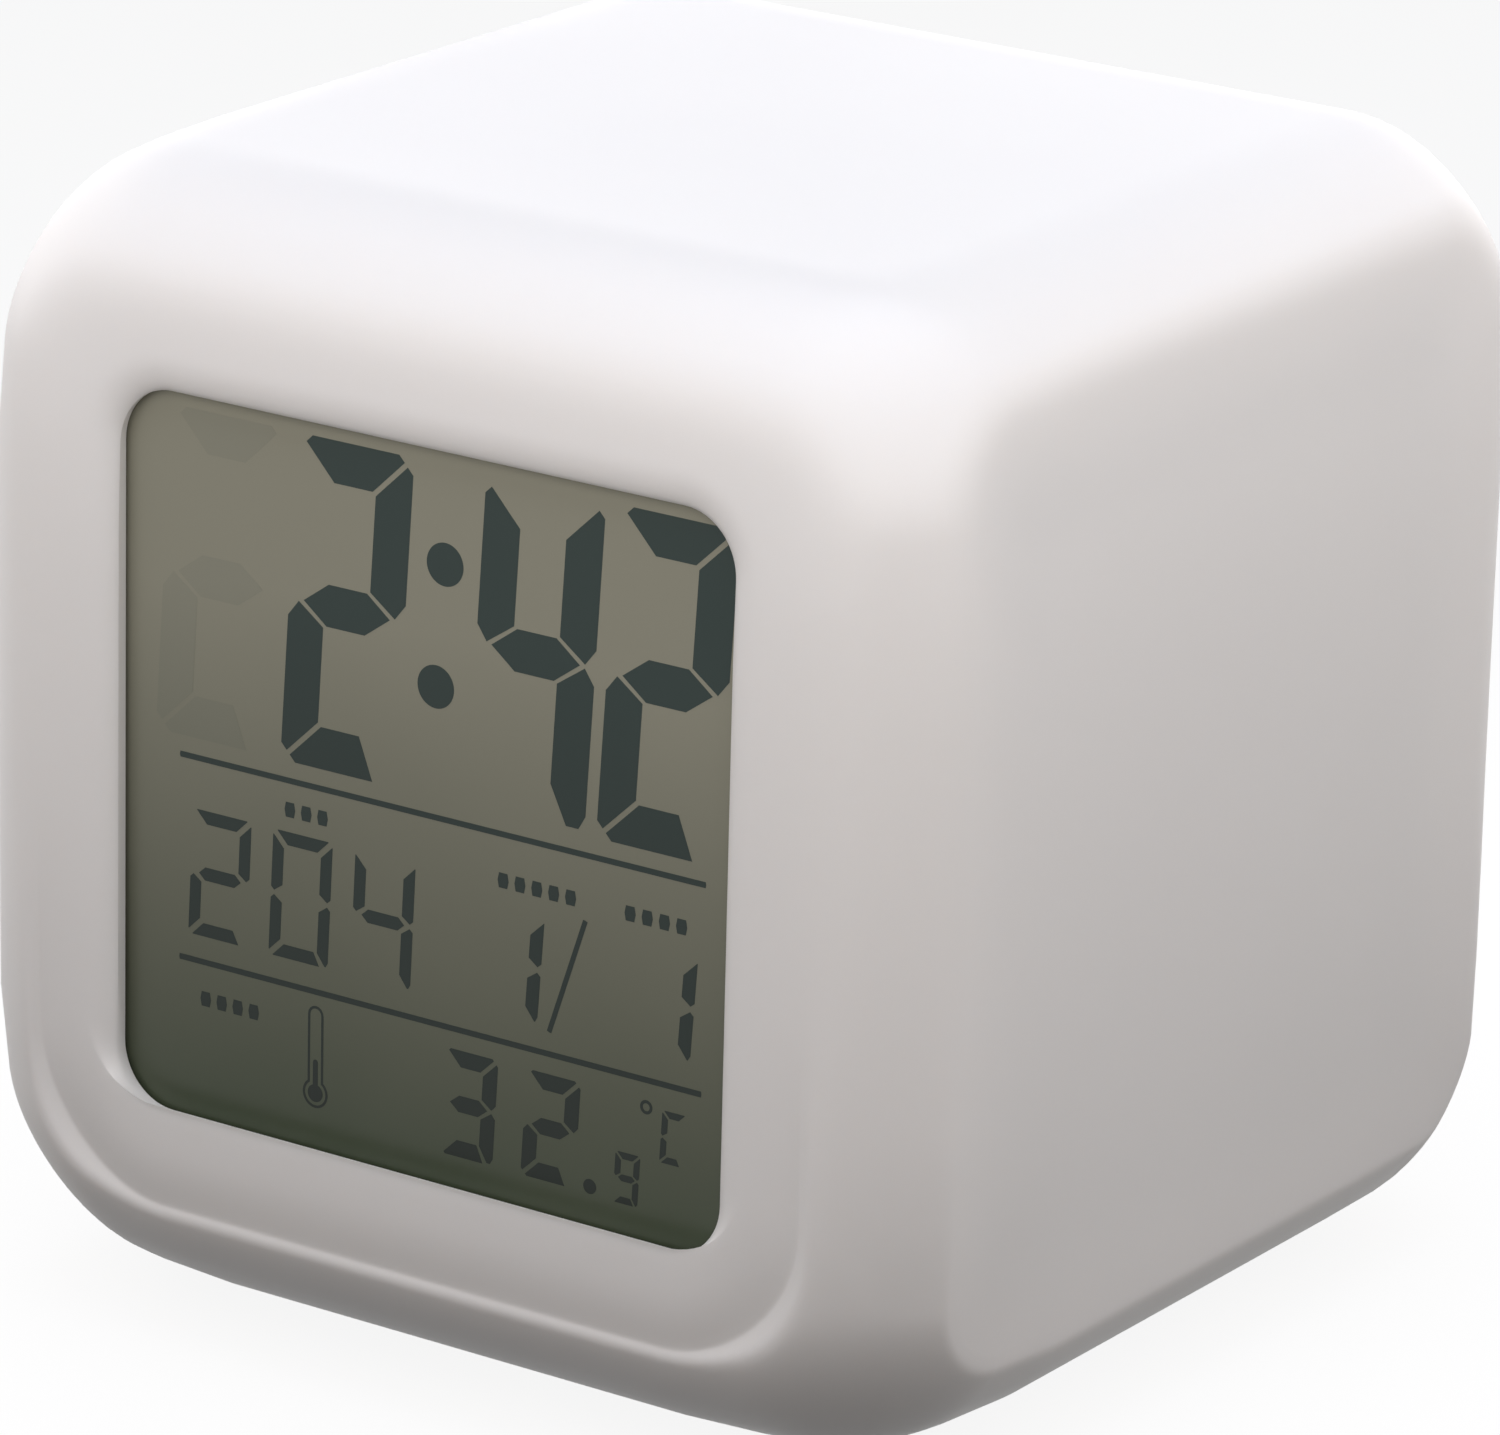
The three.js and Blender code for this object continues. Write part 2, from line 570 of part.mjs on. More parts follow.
// Press base
function basePlateGeometry() {
  const plate = plateZ(roundedRect(BASE_SIZE, BASE_SIZE, BASE_CORNER), BASE_LIFT, BASE_TOP);
  const boss = rodZ(BOSS_RADIUS, BASE_TOP - PAST, BOSS_TOP);
  const barbLow = FLOOR_TOP + FIT_GAP;
  const inner = HOOK_OFFSET - HOOK_THICK / 2;
  const outer = HOOK_OFFSET + HOOK_THICK / 2;
  const hookSide = new THREE.Shape([
    new THREE.Vector2(inner, BASE_TOP - PAST),
    new THREE.Vector2(outer, BASE_TOP - PAST),
    new THREE.Vector2(outer, barbLow),
    new THREE.Vector2(outer + HOOK_BARB, barbLow),
    new THREE.Vector2(outer, barbLow + HOOK_TIP),
    new THREE.Vector2(inner, barbLow + HOOK_TIP),
  ]);
  const hooks = hookPlaces(() => plateY(hookSide, -HOOK_WIDTH / 2, HOOK_WIDTH / 2));
  const seats = CORNERS.map(([sx, sy]) => rodZ(
    FOOT_RADIUS + FIT_GAP, BASE_LIFT - PAST, BASE_LIFT + FOOT_SUNK, 24,
  ).translate(sx * FOOT_OFFSET, sy * FOOT_OFFSET, 0));
  return geometryOf(cutBy(joined(plate, boss, ...hooks), ...seats));
}

function footGeometry() {
  return rodZ(FOOT_RADIUS, 0, BASE_LIFT + FOOT_SUNK, 24);
}

function baseSpringGeometry() {
  const radius = (SPRING_DIAMETER - SPRING_WIRE) / 2;
  return coil('base spring', radius, radius, SPRING_WIRE, SPRING_LENGTH, SPRING_TURNS);
}

// Press switch, built with its seat at z = 0 and its plunger towards +Z
function switchGeometry(travel) {
  const half = SWITCH_SIZE / 2;
  const depth = PLUNGER_SUNK + travel + FIT_GAP;
  const can = solid(block(-half, half, -half, half, 0, SWITCH_HEIGHT));
  const hole = rodZ(PLUNGER_RADIUS + SLIDE_GAP, SWITCH_HEIGHT - depth, SWITCH_HEIGHT + PAST);
  return geometryOf(cutBy(can, hole));
}

function plungerGeometry() {
  return rodZ(PLUNGER_RADIUS, SWITCH_HEIGHT - PLUNGER_SUNK, SWITCH_HEIGHT + PLUNGER_PROUD);
}

function facingRear(geometry) {
  return geometry.rotateX(-Math.PI / 2);
}

function facingDown(geometry) {
  return geometry.rotateX(Math.PI);
}

// Screw with its head's top at y = 0 and its point towards -Y
function screwGeometry() {
  const tip = -SCREW_HEAD_HEIGHT - SCREW_LENGTH;
  const profile = [
    [0, tip],
    [SCREW_RADIUS / 2, tip],
    [SCREW_RADIUS, tip + SCREW_RADIUS],
    [SCREW_RADIUS, -SCREW_HEAD_HEIGHT],
    [SCREW_HEAD, -SCREW_HEAD_HEIGHT],
    [SCREW_HEAD, -SCREW_HEAD_HEIGHT / 2],
    [SCREW_CROWN, 0],
    [0, 0],
  ].map(([r, y]) => new THREE.Vector2(r, y));
  return geometryOf(cutBy(
    solid(new THREE.LatheGeometry(profile, 10)),
    block(-CROSS_REACH, CROSS_REACH, -CROSS_DEPTH, PAST, -CROSS_HALF, CROSS_HALF),
    block(-CROSS_HALF, CROSS_HALF, -CROSS_DEPTH, PAST, -CROSS_REACH, CROSS_REACH),
  ));
}

// Display stack
function sheet(width, height, y, thick) {
  return block(-width / 2, width / 2, y, y + thick, -height / 2, height / 2);
}

function frameGeometry() {
  const body = solid(plateY(roundedRect(FRAME_WIDTH, FRAME_HEIGHT, FRAME_CORNER), FIT_GAP, MAIN_BOARD_Y));
  const strips = SIDES.map((side) => block(
    -STRIP_LENGTH / 2 - FIT_GAP, STRIP_LENGTH / 2 + FIT_GAP, FLANGE_Y - PAST, MAIN_BOARD_Y + PAST,
    side * STRIP_Z - STRIP_THICK / 2 - FIT_GAP, side * STRIP_Z + STRIP_THICK / 2 + FIT_GAP,
  ));
  return geometryOf(cutBy(
    body,
    sheet(GLASS_WIDTH + 2 * FIT_GAP, GLASS_HEIGHT + 2 * FIT_GAP, FIT_GAP - PAST, FLANGE_Y - FIT_GAP + PAST),
    sheet(GLASS_WIDTH - 2 * FRAME_LIP, REAR_GLASS_HEIGHT - 2 * FRAME_LIP, FLANGE_Y - PAST,
      FRAME_FLANGE + 2 * PAST),
    ...strips,
  ));
}

function stripGeometry() {
  return block(-STRIP_LENGTH / 2, STRIP_LENGTH / 2, REAR_GLASS_Y, MAIN_BOARD_Y, -STRIP_THICK / 2,
    STRIP_THICK / 2);
}

function mainBoardGeometry() {
  const outline = roundedRect(MAIN_BOARD_WIDTH, MAIN_BOARD_HEIGHT, BOARD_CORNER);
  CORNERS.forEach(([sx, sz]) => addHole(outline, sx * MAIN_SCREW_X, sz * MAIN_SCREW_Z, SCREW_CLEAR));
  return plateY(outline, MAIN_BOARD_Y, MAIN_BOARD_BACK);
}

function chipGeometry() {
  const steps = 4;
  const profile = [new THREE.Vector2(0, 0)];
  for (let i = 0; i <= steps; i += 1) {
    const turn = (i / steps) * Math.PI / 2;
    profile.push(new THREE.Vector2(CHIP_RADIUS * Math.cos(turn), CHIP_HEIGHT * Math.sin(turn)));
  }
  profile[profile.length - 1].x = 0;
  return new THREE.LatheGeometry(profile, 16);
}

// Light board
function lightBoardGeometry() {
  const outline = roundedRect(LIGHT_BOARD_WIDTH, LIGHT_BOARD_DEPTH, BOARD_CORNER);
  CORNERS.forEach(([sx, sy]) => addHole(
    outline, sx * LIGHT_POST_X, sy * LIGHT_POST_Y, PIN_RADIUS + SLIDE_GAP,
  ));
  return plateZ(outline, LIGHT_BOARD_Z, LIGHT_BOARD_Z + BOARD_THICK);
}

function lampGeometry() {
  const steps = 4;
  const profile = [
    [0, 0],
    [LAMP_RADIUS + LAMP_RIM, 0],
    [LAMP_RADIUS + LAMP_RIM, LAMP_RIM_HEIGHT],
    [LAMP_RADIUS, LAMP_RIM_HEIGHT],
  ].map(([r, y]) => new THREE.Vector2(r, y));
  for (let i = 0; i < steps; i += 1) {
    const turn = (i / steps) * Math.PI / 2;
    profile.push(new THREE.Vector2(
      LAMP_RADIUS * Math.cos(turn), LAMP_HEIGHT - LAMP_RADIUS + LAMP_RADIUS * Math.sin(turn),
    ));
  }
  profile.push(new THREE.Vector2(0, LAMP_HEIGHT));
  return new THREE.LatheGeometry(profile, 12).rotateX(Math.PI / 2);
}

// Rear cover
function soundHoles() {
  const holes = [[0, 0]];
  for (let i = 0; i < 6; i += 1) {
    const turn = (i / 6) * Math.PI * 2;
    holes.push([SOUND_RING * Math.cos(turn), SOUND_RING * Math.sin(turn)]);
  }
  return holes.map(([x, z]) => rodY(SOUND_HOLE, PANEL_BACK - PAST, PAST, 8)
    .translate(KEY_X + x, 0, LOW_ROW + z));
}

function keyPlaces() {
  return SIDES.flatMap((side) => [KEY_HIGH, KEY_LOW].map((z) => [side * KEY_X, z]));
}

function keyPins() {
  const x = BAY_WIDTH / 2 - KEY_PIN_INSET[0];
  const z = BAY_HEIGHT / 2 - KEY_PIN_INSET[1];
  return CORNERS.map(([sx, sz]) => [sx * x, sz * z]);
}

function rearCoverGeometry() {
  const wall = 2 * BAY_WALL;
  const pieces = [
    plateY(roundedRect(PANEL_SIZE, PANEL_SIZE, PANEL_CORNER), PANEL_BACK, 0),
    sheet(BAY_WIDTH + wall, BAY_HEIGHT + wall, BAY_BACK, -BAY_BACK - PANEL_THICK / 2),
    rodY(TUBE_RADIUS, KEY_BOARD_Y + SOUNDER_HEIGHT + PAST, PANEL_BACK + PAST).translate(KEY_X, 0, LOW_ROW),
  ];
  keyPins().forEach(([x, z]) => {
    pieces.push(rodY(POST_RADIUS, KEY_BOARD_Y, BAY_BACK + BAY_FLOOR / 2).translate(x, 0, z));
    pieces.push(rodY(PIN_RADIUS, KEY_BOARD_FRONT - PIN_PROUD, BAY_BACK, 10).translate(x, 0, z));
  });

  const recessWidth = DOOR_WIDTH + 2 * FIT_GAP;
  const recessHeight = DOOR_HEIGHT + 2 * FIT_GAP;
  const seat = DOOR_THICK + DOOR_SEAT;
  const cuts = [
    sheet(recessWidth, recessHeight, -seat, seat + PAST),
    sheet(BAY_WIDTH, BAY_HEIGHT, BAY_FLOOR_Y, -BAY_FLOOR_Y + PAST),
    block(-recessWidth / 2, recessWidth / 2, HINGE_Y - HINGE_RADIUS - FIT_GAP, PAST,
      -recessHeight / 2, HINGE_Z + HINGE_RADIUS + FIT_GAP),
    block(-LATCH_WIDTH / 2 - FIT_GAP, LATCH_WIDTH / 2 + FIT_GAP, -LATCH_THICK - DOOR_SEAT, PAST,
      DOOR_HEIGHT / 2 - PAST, DOOR_HEIGHT / 2 + LATCH_REACH + FIT_GAP),
    rodY(TUBE_RADIUS - TUBE_WALL, KEY_BOARD_Y, PANEL_BACK).translate(KEY_X, 0, LOW_ROW),
    ...soundHoles(),
  ];
  const pinReach = DOOR_WIDTH / 2 + HINGE_PIN_LENGTH + FIT_GAP;
  cuts.push(rodX(HINGE_PIN_RADIUS + HINGE_GAP, -pinReach, pinReach, 12).translate(0, HINGE_Y, HINGE_Z));
  SIDES.forEach((side) => {
    const tailX = side * CELL_PITCH;
    const tailZ = -side * BAY_HEIGHT / 2;
    cuts.push(block(tailX - TAIL_WIDTH / 2 - FIT_GAP, tailX + TAIL_WIDTH / 2 + FIT_GAP, BAY_BACK - PAST,
      BAY_FLOOR_Y + PAST, tailZ - CONTACT_THICK - FIT_GAP, tailZ + CONTACT_THICK + FIT_GAP));
  });
  keyPlaces().forEach(([x, z]) => cuts.push(plateY(
    roundedRect(KEY_WIDTH + 2 * FIT_GAP, KEY_HEIGHT + 2 * FIT_GAP, KEY_CORNER + FIT_GAP),
    PANEL_BACK - PAST, PAST,
  ).translate(x, 0, z)));
  const slotX = KNOB_WIDTH / 2 + FIT_GAP;
  const slotZ = (KNOB_HEIGHT + KNOB_TRAVEL) / 2 + FIT_GAP;
  cuts.push(block(-slotX, slotX, PANEL_BACK - PAST, PAST, -slotZ, slotZ).translate(-KEY_X, 0, LOW_ROW));
  CORNERS.forEach(([sx, sz]) => {
    const x = sx * COVER_SCREW;
    const z = sz * COVER_SCREW;
    cuts.push(rodY(SCREW_CLEAR, PANEL_BACK - PAST, PAST, 12).translate(x, 0, z));
    cuts.push(rodY(SCREW_HEAD + FIT_GAP, -COUNTERBORE, PAST).translate(x, 0, z));
  });
  return geometryOf(cutBy(joined(...pieces), ...cuts));
}

// Battery door, which swings out on two pins at its lower edge
function doorGeometry() {
  const half = DOOR_WIDTH / 2;
  const leaf = block(-half, half, -DOOR_THICK, 0, HINGE_Z, DOOR_HEIGHT / 2);
  const latch = block(-LATCH_WIDTH / 2, LATCH_WIDTH / 2, -LATCH_THICK, 0, DOOR_HEIGHT / 2 - PAST,
    DOOR_HEIGHT / 2 + LATCH_REACH);
  const barrel = rodX(HINGE_RADIUS, -half, half).translate(0, HINGE_Y, HINGE_Z);
  const pinEnd = half + HINGE_PIN_LENGTH;
  const pins = rodX(HINGE_PIN_RADIUS, -pinEnd, pinEnd, 10).translate(0, HINGE_Y, HINGE_Z);
  const grip = rodX(GRIP_RADIUS, -LATCH_WIDTH / 2, LATCH_WIDTH / 2)
    .translate(0, GRIP_RAISE, DOOR_HEIGHT / 2 - GRIP_DROP);
  return geometryOf(cutBy(joined(leaf, latch, barrel, pins), grip));
}

// Cells stand on end; one flipped over has its nub down
function cellGeometry(nubUp) {
  const shoulder = CELL_LENGTH - NUB_LENGTH;
  const profile = [
    [0, 0],
    [CELL_RADIUS - FIT_GAP, 0],
    [CELL_RADIUS, FIT_GAP],
    [CELL_RADIUS, shoulder - FIT_GAP],
    [CELL_RADIUS - FIT_GAP, shoulder],
    [NUB_RADIUS, shoulder],
    [NUB_RADIUS, CELL_LENGTH],
    [0, CELL_LENGTH],
  ].map(([r, y]) => new THREE.Vector2(r, y));
  const rest = -BAY_HEIGHT / 2 + CONTACT_THICK + CONTACT_SPRING + NUB_GAP;
  const cell = new THREE.LatheGeometry(profile, 16).rotateX(Math.PI / 2).translate(0, 0, rest);
  return nubUp ? cell : cell.rotateX(Math.PI);
}

// A contact at the top (end 1) or bottom (end -1) of the bay, with its spring or its solder tail
function contactGeometry(label, end, fromX, toX, springX, tailX) {
  const back = end * BAY_HEIGHT / 2;
  const face = back - end * CONTACT_THICK;
  const [bottom, top] = [back, face].sort((a, b) => a - b);
  const pieces = [block(fromX - CONTACT_HALF, toX + CONTACT_HALF, -CONTACT_HALF, CONTACT_HALF, bottom, top)];
  if (springX !== null) {
    const sunk = CONTACT_WIRE / 4;
    const [low, high] = CONTACT_COIL;
    const spring = coil(label, low, high, CONTACT_WIRE, CONTACT_SPRING + sunk, CONTACT_TURNS);
    spring.translate(0, 0, -sunk);
    pieces.push((end > 0 ? spring.rotateX(Math.PI) : spring).translate(springX, 0, face));
  }
  if (tailX !== null) {
    pieces.push(block(tailX - TAIL_WIDTH / 2, tailX + TAIL_WIDTH / 2, KEY_BOARD_Y - CELL_Y, 0, bottom, top));
  }
  return geometryOf(joined(...pieces));
}

// Key board and what it carries
function keyBoardGeometry() {
  const outline = new THREE.Shape();
  const wing = KEY_X + SWITCH_SIZE / 2 + KEY_BOARD_EDGE;
  const wingLow = LOW_ROW - SLIDER_BODY[1] / 2 - KEY_BOARD_EDGE;
  const wingHigh = KEY_HIGH + SWITCH_SIZE / 2 + KEY_BOARD_EDGE;
  const waist = COVER_SCREW - COVER_BOSS_RADIUS - KEY_BOARD_CLEAR;
  outline.moveTo(-waist, KEY_BOARD_LOW);
  [
    [waist, KEY_BOARD_LOW], [waist, wingLow], [wing, wingLow], [wing, wingHigh],
    [waist, wingHigh], [waist, -KEY_BOARD_LOW], [-waist, -KEY_BOARD_LOW], [-waist, wingHigh],
    [-wing, wingHigh], [-wing, wingLow], [-waist, wingLow],
  ].forEach(([x, z]) => outline.lineTo(x, z));
  outline.closePath();
  keyPins().forEach(([x, z]) => addHole(outline, x, z, PIN_RADIUS + SLIDE_GAP));
  return plateY(outline, KEY_BOARD_FRONT, KEY_BOARD_Y);
}

function keyGeometry() {
  const flangeTop = PANEL_BACK - FIT_GAP;
  const flangeLow = flangeTop - KEY_FLANGE;
  const rings = [[KEY_WIDTH, KEY_HEIGHT, KEY_CORNER, flangeLow]];
  [0, Math.PI / 4, Math.PI / 2].forEach((turn) => {
    const inset = KEY_ROUND * (1 - Math.cos(turn));
    const height = KEY_PROUD - KEY_ROUND * (1 - Math.sin(turn));
    rings.push([KEY_WIDTH - 2 * inset, KEY_HEIGHT - 2 * inset, KEY_CORNER - inset, height]);
  });
  const cap = loft(rings, 2);
  const flange = plateZ(
    roundedRect(KEY_WIDTH + 2 * KEY_RIM, KEY_HEIGHT + 2 * KEY_RIM, KEY_CORNER + KEY_RIM),
    flangeLow, flangeTop,
  );
  const stem = rodZ(KEY_STEM, PLUNGER_END, flangeLow + PAST, 12);
  return facingRear(geometryOf(joined(cap, flange, stem)));
}

function knobGeometry() {
  const x = KNOB_WIDTH / 2;
  const z = KNOB_HEIGHT / 2;
  const foot = KEY_BOARD_Y + SLIDER_BODY[2] - SLIDER_SUNK;
  const stem = block(-x, x, foot, KNOB_PROUD, -z, z);
  const shutterTop = PANEL_BACK - FIT_GAP;
  const shutter = block(-SHUTTER_WIDTH / 2, SHUTTER_WIDTH / 2, shutterTop - SHUTTER_THICK, shutterTop,
    -SHUTTER_HEIGHT / 2, SHUTTER_HEIGHT / 2);
  const grooves = [-2, 0, 2].map((step) => block(
    -x - PAST, x + PAST, KNOB_PROUD - KNOB_GROOVE, KNOB_PROUD + PAST,
    (step - 0.5) * KNOB_GROOVE, (step + 0.5) * KNOB_GROOVE,
  ));
  return geometryOf(cutBy(joined(stem, shutter), ...grooves));
}

function sliderBodyGeometry() {
  const [width, height, thick] = SLIDER_BODY;
  const top = KEY_BOARD_Y + thick;
  const x = KNOB_WIDTH / 2 + FIT_GAP;
  const z = (KNOB_HEIGHT + KNOB_TRAVEL) / 2 + FIT_GAP;
  const can = solid(sheet(width, height, KEY_BOARD_Y, thick));
  return geometryOf(cutBy(can, block(-x, x, top - SLIDER_SUNK - FIT_GAP, top + PAST, -z, z)));
}

// Assembly
function group(name, x, y, z) {
  const made = new THREE.Group();
  made.name = name;
  made.position.set(x, y, z);
  return made;
}

function add(parent, name, geometry, material, x = 0, y = 0, z = 0) {
  const mesh = new THREE.Mesh(geometry, material);
  mesh.name = name;
  mesh.position.set(x, y, z);
  parent.add(mesh);
}

function caseGroup() {
  const made = group('case', 0, 0, 0);
  add(made, 'shell', shellGeometry(), MILKY);
  return made;
}

function baseGroup() {
  const made = group('press_base', 0, 0, 0);
  add(made, 'base_plate', basePlateGeometry(), WHITE);
  add(made, 'base_spring', baseSpringGeometry(), STEEL, 0, 0, BASE_TOP);
  CORNERS.forEach(([sx, sy], i) => add(
    made, `foot_${i + 1}`, footGeometry(), RUBBER, sx * FOOT_OFFSET, sy * FOOT_OFFSET, 0,
  ));
  add(made, 'light_switch_plunger', facingDown(plungerGeometry()), BLACK, 0, 0, LIGHT_BOARD_Z);
  return made;
}

function lightGroup() {
  const made = group('light', 0, 0, 0);
  add(made, 'light_board', lightBoardGeometry(), BOARD_GREEN);
  add(made, 'light_switch', facingDown(switchGeometry(BASE_TRAVEL)), STEEL, 0, 0, LIGHT_BOARD_Z);
  SIDES.forEach((side, i) => add(
    made, `glow_lamp_${i + 1}`, lampGeometry(), LAMP, side * LAMP_OFFSET, 0, LIGHT_BOARD_Z + BOARD_THICK,
  ));
  const boardMiddle = LIGHT_BOARD_Z + BOARD_THICK / 2;
  const lead = flatLead(
    LAMP_LEAD_WIDTH, LIGHT_BOARD_DEPTH / 2, boardMiddle,
    REAR_Y + KEY_BOARD_FRONT, CASE_MIDDLE + KEY_BOARD_LOW + LAMP_LEAD_UP,
  );
  add(made, 'light_lead', lead, LEAD_GREY);
  return made;
}

function displayGroup() {
  const made = group('display', 0, FRONT_INNER, WINDOW_Z);
  const filmWidth = GLASS_WIDTH - 2 * FILM_INSET;
  const filmHeight = REAR_GLASS_HEIGHT + 2 * FILM_INSET;
  add(made, 'front_polariser', sheet(filmWidth, filmHeight, FILM_Y, FILM), LCD_GREY);
  add(made, 'lcd_front_glass', sheet(GLASS_WIDTH, GLASS_HEIGHT, GLASS_Y, GLASS), CLEAR);
  add(made, 'lcd_rear_glass', sheet(GLASS_WIDTH, REAR_GLASS_HEIGHT, REAR_GLASS_Y, GLASS), CLEAR);
  const rearFilm = sheet(filmWidth, REAR_GLASS_HEIGHT - FILM_INSET, REAR_FILM_Y, FILM);
  add(made, 'rear_polariser', rearFilm, SILVER_FILM);
  add(made, 'light_guide', sheet(GLASS_WIDTH, REAR_GLASS_HEIGHT, GUIDE_Y, GUIDE), CLEAR);
  add(made, 'lcd_frame', frameGeometry(), WHITE);
  add(made, 'zebra_strip_upper', stripGeometry(), STRIP_PINK, 0, 0, STRIP_Z);
  add(made, 'zebra_strip_lower', stripGeometry(), STRIP_PINK, 0, 0, -STRIP_Z);
  add(made, 'main_board', mainBoardGeometry(), BOARD_GREEN);
  add(made, 'controller_chip', chipGeometry(), EPOXY, CHIP_SPOT[0], MAIN_BOARD_BACK, CHIP_SPOT[1]);
  const crystal = rodZ(CRYSTAL_RADIUS, -CRYSTAL_LENGTH / 2, CRYSTAL_LENGTH / 2, 12);
  add(made, 'crystal', crystal, STEEL, CRYSTAL_SPOT[0], MAIN_BOARD_BACK + CRYSTAL_RADIUS, CRYSTAL_SPOT[1]);
  const [sensorWidth, sensorDepth, sensorHeight] = SENSOR_SIZE;
  add(made, 'temperature_sensor', sheet(sensorWidth, sensorHeight, 0, sensorDepth), EPOXY,
    SENSOR_SPOT[0], MAIN_BOARD_BACK, SENSOR_SPOT[1]);
  CORNERS.forEach(([sx, sz], i) => add(
    made, `board_screw_${i + 1}`, screwGeometry(), STEEL,
    sx * MAIN_SCREW_X, MAIN_BOARD_BACK + SCREW_HEAD_HEIGHT, sz * MAIN_SCREW_Z,
  ));
  return made;
}

function batteryGroup() {
  const made = group('battery_bay', 0, CELL_Y, 0);
  [-1, 0, 1].forEach((place, i) => add(
    made, `battery_${i + 1}`, cellGeometry(place !== 0), CELL_SKIN, place * CELL_PITCH, 0, 0,
  ));
  const left = -CELL_PITCH;
  const right = CELL_PITCH;
  add(made, 'link_contact_lower', contactGeometry('lower link', -1, left, 0, left, null), STEEL);
  add(made, 'link_contact_upper', contactGeometry('upper link', 1, 0, right, 0, null), STEEL);
  add(made, 'negative_contact', contactGeometry('negative contact', -1, right, right, right, right), STEEL);
  add(made, 'positive_contact', contactGeometry('positive contact', 1, left, left, null, left), STEEL);
  return made;
}

function rearGroup() {
  const made = group('rear', 0, REAR_Y, CASE_MIDDLE);
  add(made, 'rear_cover', rearCoverGeometry(), MILKY);
  CORNERS.forEach(([sx, sz], i) => add(
    made, `cover_screw_${i + 1}`, screwGeometry(), STEEL,
    sx * COVER_SCREW, SCREW_HEAD_HEIGHT - COUNTERBORE, sz * COVER_SCREW,
  ));
  add(made, 'battery_door', doorGeometry(), MILKY);
  add(made, 'key_board', keyBoardGeometry(), BOARD_GREEN);
  const names = ['mode', 'set', 'up', 'down'];
  keyPlaces().forEach(([x, z], i) => {
    add(made, `${names[i]}_key`, keyGeometry(), WHITE, x, 0, z);
    add(made, `${names[i]}_switch`, facingRear(switchGeometry(KEY_TRAVEL)), STEEL, x, KEY_BOARD_Y, z);
    add(made, `${names[i]}_plunger`, facingRear(plungerGeometry()), BLACK, x, KEY_BOARD_Y, z);
  });
  add(made, 'slide_switch', sliderBodyGeometry(), STEEL, -KEY_X, 0, LOW_ROW);
  add(made, 'slide_knob', knobGeometry(), BLACK, -KEY_X, 0, KNOB_REST);
  const sounder = sheet(SOUNDER_SIZE, SOUNDER_SIZE, KEY_BOARD_Y, SOUNDER_HEIGHT);
  add(made, 'sounder', sounder, BLACK, KEY_X, 0, LOW_ROW);
  const ribbon = flatLead(
    RIBBON_WIDTH, FRONT_INNER + MAIN_BOARD_BACK - REAR_Y, WINDOW_RISE + RIBBON_MAIN_Z,
    KEY_BOARD_FRONT, RIBBON_KEY_Z,
  );
  add(made, 'ribbon_cable', ribbon, LEAD_GREY, RIBBON_X, 0, 0);
  made.add(batteryGroup());
  return made;
}

const clock = group('digital_clock', 0, 0, 0);
clock.add(caseGroup(), displayGroup(), rearGroup(), lightGroup(), baseGroup());

export default clock;
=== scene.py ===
"""Looks of a cube clock: a milky moulded case round a grey-green liquid-crystal display."""
import math
from functools import partial

import bmesh
import bpy
from mathutils import Matrix, Vector


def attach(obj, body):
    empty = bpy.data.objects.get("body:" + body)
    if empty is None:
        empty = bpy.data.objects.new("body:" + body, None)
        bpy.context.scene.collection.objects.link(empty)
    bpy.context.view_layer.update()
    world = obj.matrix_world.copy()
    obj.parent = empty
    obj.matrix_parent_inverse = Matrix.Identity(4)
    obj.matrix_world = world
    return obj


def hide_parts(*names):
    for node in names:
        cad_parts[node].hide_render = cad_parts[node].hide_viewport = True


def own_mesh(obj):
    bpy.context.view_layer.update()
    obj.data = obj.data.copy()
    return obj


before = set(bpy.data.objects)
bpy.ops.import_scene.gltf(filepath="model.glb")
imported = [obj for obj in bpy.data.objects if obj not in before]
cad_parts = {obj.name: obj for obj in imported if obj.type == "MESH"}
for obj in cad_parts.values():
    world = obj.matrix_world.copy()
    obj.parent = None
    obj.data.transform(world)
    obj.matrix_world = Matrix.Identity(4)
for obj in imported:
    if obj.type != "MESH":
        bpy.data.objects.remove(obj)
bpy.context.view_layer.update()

# Sizes are in millimetres: the front faces -Y and the table is at z = 0
MM = 0.001
MERGE = 0.002  # points closer than this become one
SHARP = math.radians(38)  # a steeper bend shows as an edge

# Case
CASE_MIDDLE = Vector((0, 0, 39.8))
CASE_HALF = Vector((39, 39, 38.2))
EDGE_RADIUS = 12.8
ROOM_MIDDLE = Vector((0, -1.55, 40.85))  # the room inside the walls
ROOM_HALF = Vector((36.6, 35.05, 34.75))
ROOM_RADIUS = 11.6
ROOM_CORNER = 5  # of the flat part of a wall's inside
ROOM_STEPS = 4
CORNER_STEPS = 16  # steps round a corner of a ring, and along an edge
EDGE_STEPS = 8
SKIN_STEPS = 9  # rings from a case edge to the border of a side

